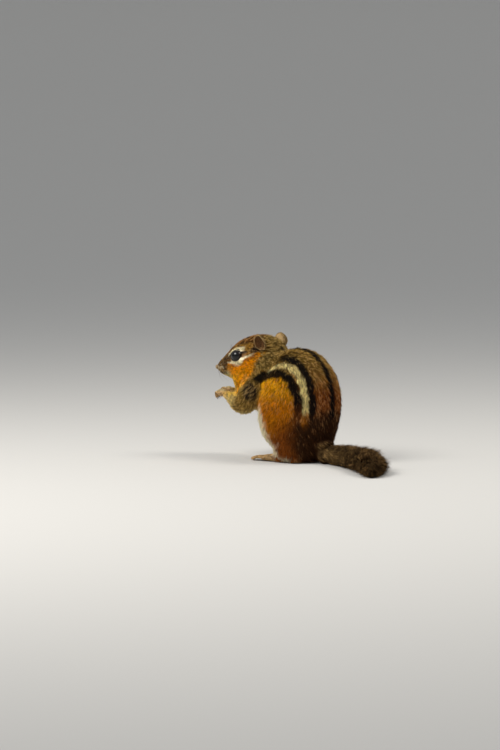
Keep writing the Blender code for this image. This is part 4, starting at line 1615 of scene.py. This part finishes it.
def add_marked_colour(tree, shader, scale, darkest, lightest):
    """Markings from the mesh, varied by fine noise, on the shader's base colour. Returns the noise."""
    colour = tree.nodes.new("ShaderNodeVertexColor")
    colour.layer_name = "markings"
    place = tree.nodes.new("ShaderNodeTexCoord")
    noise = add_noise(tree, {"Scale": scale, "Detail": 4.0})
    tree.links.new(place.outputs["Object"], noise.inputs["Vector"])
    spread = tree.nodes.new("ShaderNodeMapRange")
    set_values(spread, {"From Min": 0.25, "From Max": 0.75, "To Min": darkest, "To Max": lightest})
    tree.links.new(noise.outputs["Fac"], spread.inputs["Value"])
    mixed = tree.nodes.new("ShaderNodeMix")
    mixed.data_type = "RGBA"
    mixed.blend_type = "MULTIPLY"
    mixed.inputs["Factor"].default_value = 1.0
    tree.links.new(colour.outputs["Color"], mixed.inputs["A"])
    tree.links.new(spread.outputs["Result"], mixed.inputs["B"])
    tree.links.new(mixed.outputs["Result"], shader.inputs["Base Color"])
    return noise


def add_bump(tree, shader, noise, strength, distance):
    bump = tree.nodes.new("ShaderNodeBump")
    set_values(bump, {"Strength": strength, "Distance": distance})
    tree.links.new(noise.outputs["Fac"], bump.inputs["Height"])
    tree.links.new(bump.outputs["Normal"], shader.inputs["Normal"])


def marked_material(name):
    roughness, specular, mottling, bumps = LOOKS[name]
    material, tree, shader = new_material(name, {"Roughness": roughness, "Specular IOR Level": specular})
    noise = add_marked_colour(tree, shader, *mottling)
    if bumps:
        add_bump(tree, shader, noise, *bumps)
    return material


def floor_material():
    material, tree, shader = new_material("floor", {"Roughness": 0.9, "Base Color": (0.60, 0.59, 0.57, 1.0)})
    add_bump(tree, shader, add_noise(tree, {"Scale": 60.0}), 0.05, 0.0005)
    return material


def coloured_piece(name, points, faces, colours, material):
    made = new_object(name, new_mesh(name, points, faces))
    made.data.shade_smooth()
    store_colours(made.data, colours)
    made.data.materials.append(material)
    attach(made, "root")
    return made


def make_eyes(material):
    for side, word in ((1, "left"), (-1, "right")):
        points, faces = ball((0.0, 0.0, 0.0), (1.0, 1.0, 1.0), 40, 56)
        lean = np.degrees(np.arccos(np.clip(points[:, 0], -1.0, 1.0)))
        colours = plain(len(points), "black") * 0.35
        iris = ramp(40.0, 46.0, lean) * ramp(68.0, 60.0, lean)
        colours = painted(colours, "deep_rust", 0.22 * iris)
        bulge = 1.0 + 0.03 * ramp(50.0, 20.0, lean)
        place = out_of(eye_frame(side), points * (EYE_RADIUS * bulge)[:, None])
        eye = coloured_piece(f"eyeball_{word}", place, faces, colours, material)
        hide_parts(f"eye_{word}")


def claw_form(base, heading, drop):
    """(points, faces, how near the tip) of a curved, tapered claw."""
    heading = Vector(heading).normalized()
    fall = Vector(drop)
    steps = np.linspace(0.0, 1.0, 9)
    path = []
    for t in steps:
        centre = Vector(base) + heading * CLAW_LENGTH * (t - 0.25) + fall * CLAW_LENGTH * 0.42 * t**2
        size = CLAW_RADIUS * (1.0 - t) ** 0.75 + 0.02
        path.append((tuple(centre), size * 0.8, size * 1.05))
    return *tube(path, 10), np.repeat(steps, 10)


def make_claws(material):
    ahead, down = (0.0, -1.0, -0.1), (0.0, 0.0, -0.9)
    toes = [claw_form(path[-1], ahead, down) for side in SIDES for path in toe_paths(side)]
    fingers = []
    for side in SIDES:
        frame, paths = finger_paths(side)
        for path in paths:
            heading = Vector(path[-1]) - Vector(path[-2])
            inward = frame.to_3x3() @ Vector((0.0, 1.0, -0.2))
            fingers.append(claw_form(path[-1], heading, inward))
    for name, claws in (("claws_hind", toes), ("claws_fore", fingers)):
        points, faces = merged([claw[:2] for claw in claws])
        near_tip = np.concatenate([claw[2] for claw in claws])
        points[:, 2] = np.maximum(points[:, 2], LOWEST_HAIR)
        colours = painted(plain(len(points), "dark_hair"), "foot", 0.6 * ramp(0.45, 1.0, near_tip))
        coloured_piece(name, points, faces, colours, material)


# Rows of whiskers as (height, how many), from the top
WHISKER_ROWS = ((-0.6, 4), (-1.5, 4), (-2.5, 3), (-3.4, 2))
BROW_HAIRS = 3


def whisker_form(place_at, radius, count):
    """(points, faces, how near the tip) of one tapering hair along a curve in the head's frame."""
    steps = np.linspace(0.0, 1.0, count)
    path = []
    for t in steps:
        size = radius * (1.0 - t) ** 0.8 + 0.012
        path.append((tuple(head_frame() @ place_at(t)), size, size))
    return *tube(path, 5), np.repeat(steps, 5)


def lip_whisker(side, row, up, index, random):
    back = 3.6 + 1.5 * index + 0.4 * row
    wide = np.interp(back, (1.2, 4.0, 8.0, 12.0), (2.2, 3.8, 5.6, 7.6)) - 0.4
    length = 11.0 + 2.6 * index + 3.0 * random.random()
    rise = 0.28 - 0.2 * row + 0.1 * random.random()
    out = Vector((0.85, 0.05 + 0.16 * index, rise)).normalized()

    def place_at(t):
        droop = Vector((-0.25 * t**2, 0.45 * t**2, -0.22 * t**2)) * length
        place = Vector((wide, back, up)) + out * length * t + droop
        place.x *= side
        return place

    return whisker_form(place_at, 0.075, 11)


def brow_hair(side, index):
    def place_at(t):
        back = 17.5 + index + 4.0 * t
        return Vector((side * (7.4 + (5.0 + index) * t), back, 8.6 + (5.0 - 1.2 * t) * t))

    return whisker_form(place_at, 0.06, 9)


def make_whiskers(material):
    random = np.random.default_rng(SEED + 1)
    hairs = []
    for side in SIDES:
        for row, (up, count) in enumerate(WHISKER_ROWS):
            hairs += [lip_whisker(side, row, up, index, random) for index in range(count)]
    hairs += [brow_hair(side, index) for side in SIDES for index in range(BROW_HAIRS)]
    points, faces = merged([hair[:2] for hair in hairs])
    near_tip = np.concatenate([hair[2] for hair in hairs])
    colours = painted(plain(len(points), "black"), "frost", 0.5 * near_tip)
    coloured_piece("whiskers", points, faces, colours, material)


def clear_scene():
    for old in list(bpy.data.objects):
        bpy.data.objects.remove(old)


def view_axes():
    """The camera's direction from the animal, its right and its up."""
    back = turned_up(CAMERA_AZIMUTH, CAMERA_ELEVATION)
    turn = math.radians(CAMERA_AZIMUTH)
    right = Vector((math.cos(turn), math.sin(turn), 0.0))
    return back, right, back.cross(right)


def place_camera():
    back, right, up = view_axes()
    metres_per_pixel = MM / PIXELS_PER_MM
    across = (FRAME_WIDTH / 2 - ORIGIN_PIXEL[0]) * metres_per_pixel
    upward = (ORIGIN_PIXEL[1] - FRAME_HEIGHT / 2) * metres_per_pixel
    camera = bpy.data.objects.new("camera", bpy.data.cameras.new("camera"))
    camera.data.sensor_width = SENSOR
    camera.data.lens = SENSOR * CAMERA_DISTANCE / (FRAME_HEIGHT * metres_per_pixel)
    camera.data.clip_start = 0.05
    camera.location = right * across + up * upward + back * CAMERA_DISTANCE
    camera.rotation_euler = (-back).to_track_quat("-Z", "Y").to_euler()
    bpy.context.scene.collection.objects.link(camera)
    bpy.context.scene.camera = camera


def place_light(name, energy, size, azimuth, elevation, colour):
    """An area light 1 m from the floor's middle, which it faces."""
    away = turned_up(azimuth, elevation)
    light = bpy.data.objects.new(name, bpy.data.lights.new(name, "AREA"))
    light.data.energy = energy
    light.data.size = size
    light.data.color = colour
    light.location = away
    light.rotation_euler = away.to_track_quat("Z", "Y").to_euler()
    bpy.context.scene.collection.objects.link(light)


def sweep_form():
    """(points, faces) of a round floor that is flat in the middle and sweeps up far away."""
    angle = round_angles(SWEEP_COLUMNS)
    around = np.c_[np.cos(angle), np.sin(angle)]
    points = [(0.0, 0.0, 0.0)]
    for radius, height in SWEEP:
        points += np.c_[around * radius, np.full(SWEEP_COLUMNS, height)].tolist()
    return np.array(points), fan_faces(SWEEP_COLUMNS) + ring_faces(len(SWEEP), SWEEP_COLUMNS, 1)


def set_stage():
    world = bpy.data.worlds.new("studio")
    bpy.context.scene.world = world
    world.use_nodes = True
    set_values(world.node_tree.nodes["Background"], {"Color": (0.80, 0.82, 0.84, 1.0), "Strength": 0.55})
    place_light("key", 8.0, 0.5, 75.0, 48.0, (1.0, 0.97, 0.92))
    place_light("rim", 3.8, 0.4, 215.0, 55.0, (1.0, 0.96, 0.88))
    floor = new_object("floor", new_mesh("floor", *sweep_form()))
    floor.data.shade_smooth()
    floor.data.materials.append(floor_material())
    bpy.context.scene.view_settings.view_transform = "Standard"


def main():
    clear_scene()
    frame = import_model()
    skin, surface, triangles = make_skin(frame["nodes"])
    store_colours(skin.data, skin_colours(surface))
    skin.data.materials.append(marked_material("skin"))
    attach(skin, "root")
    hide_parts(*[name for name in frame["nodes"] if not name.startswith("eye")])
    places = unwrap(skin)
    make_coat(surface, triangles, places, marked_material("coat"))
    make_eyes(marked_material("eye"))
    make_claws(marked_material("claw"))
    make_whiskers(marked_material("whisker"))
    set_stage()
    place_camera()


main()
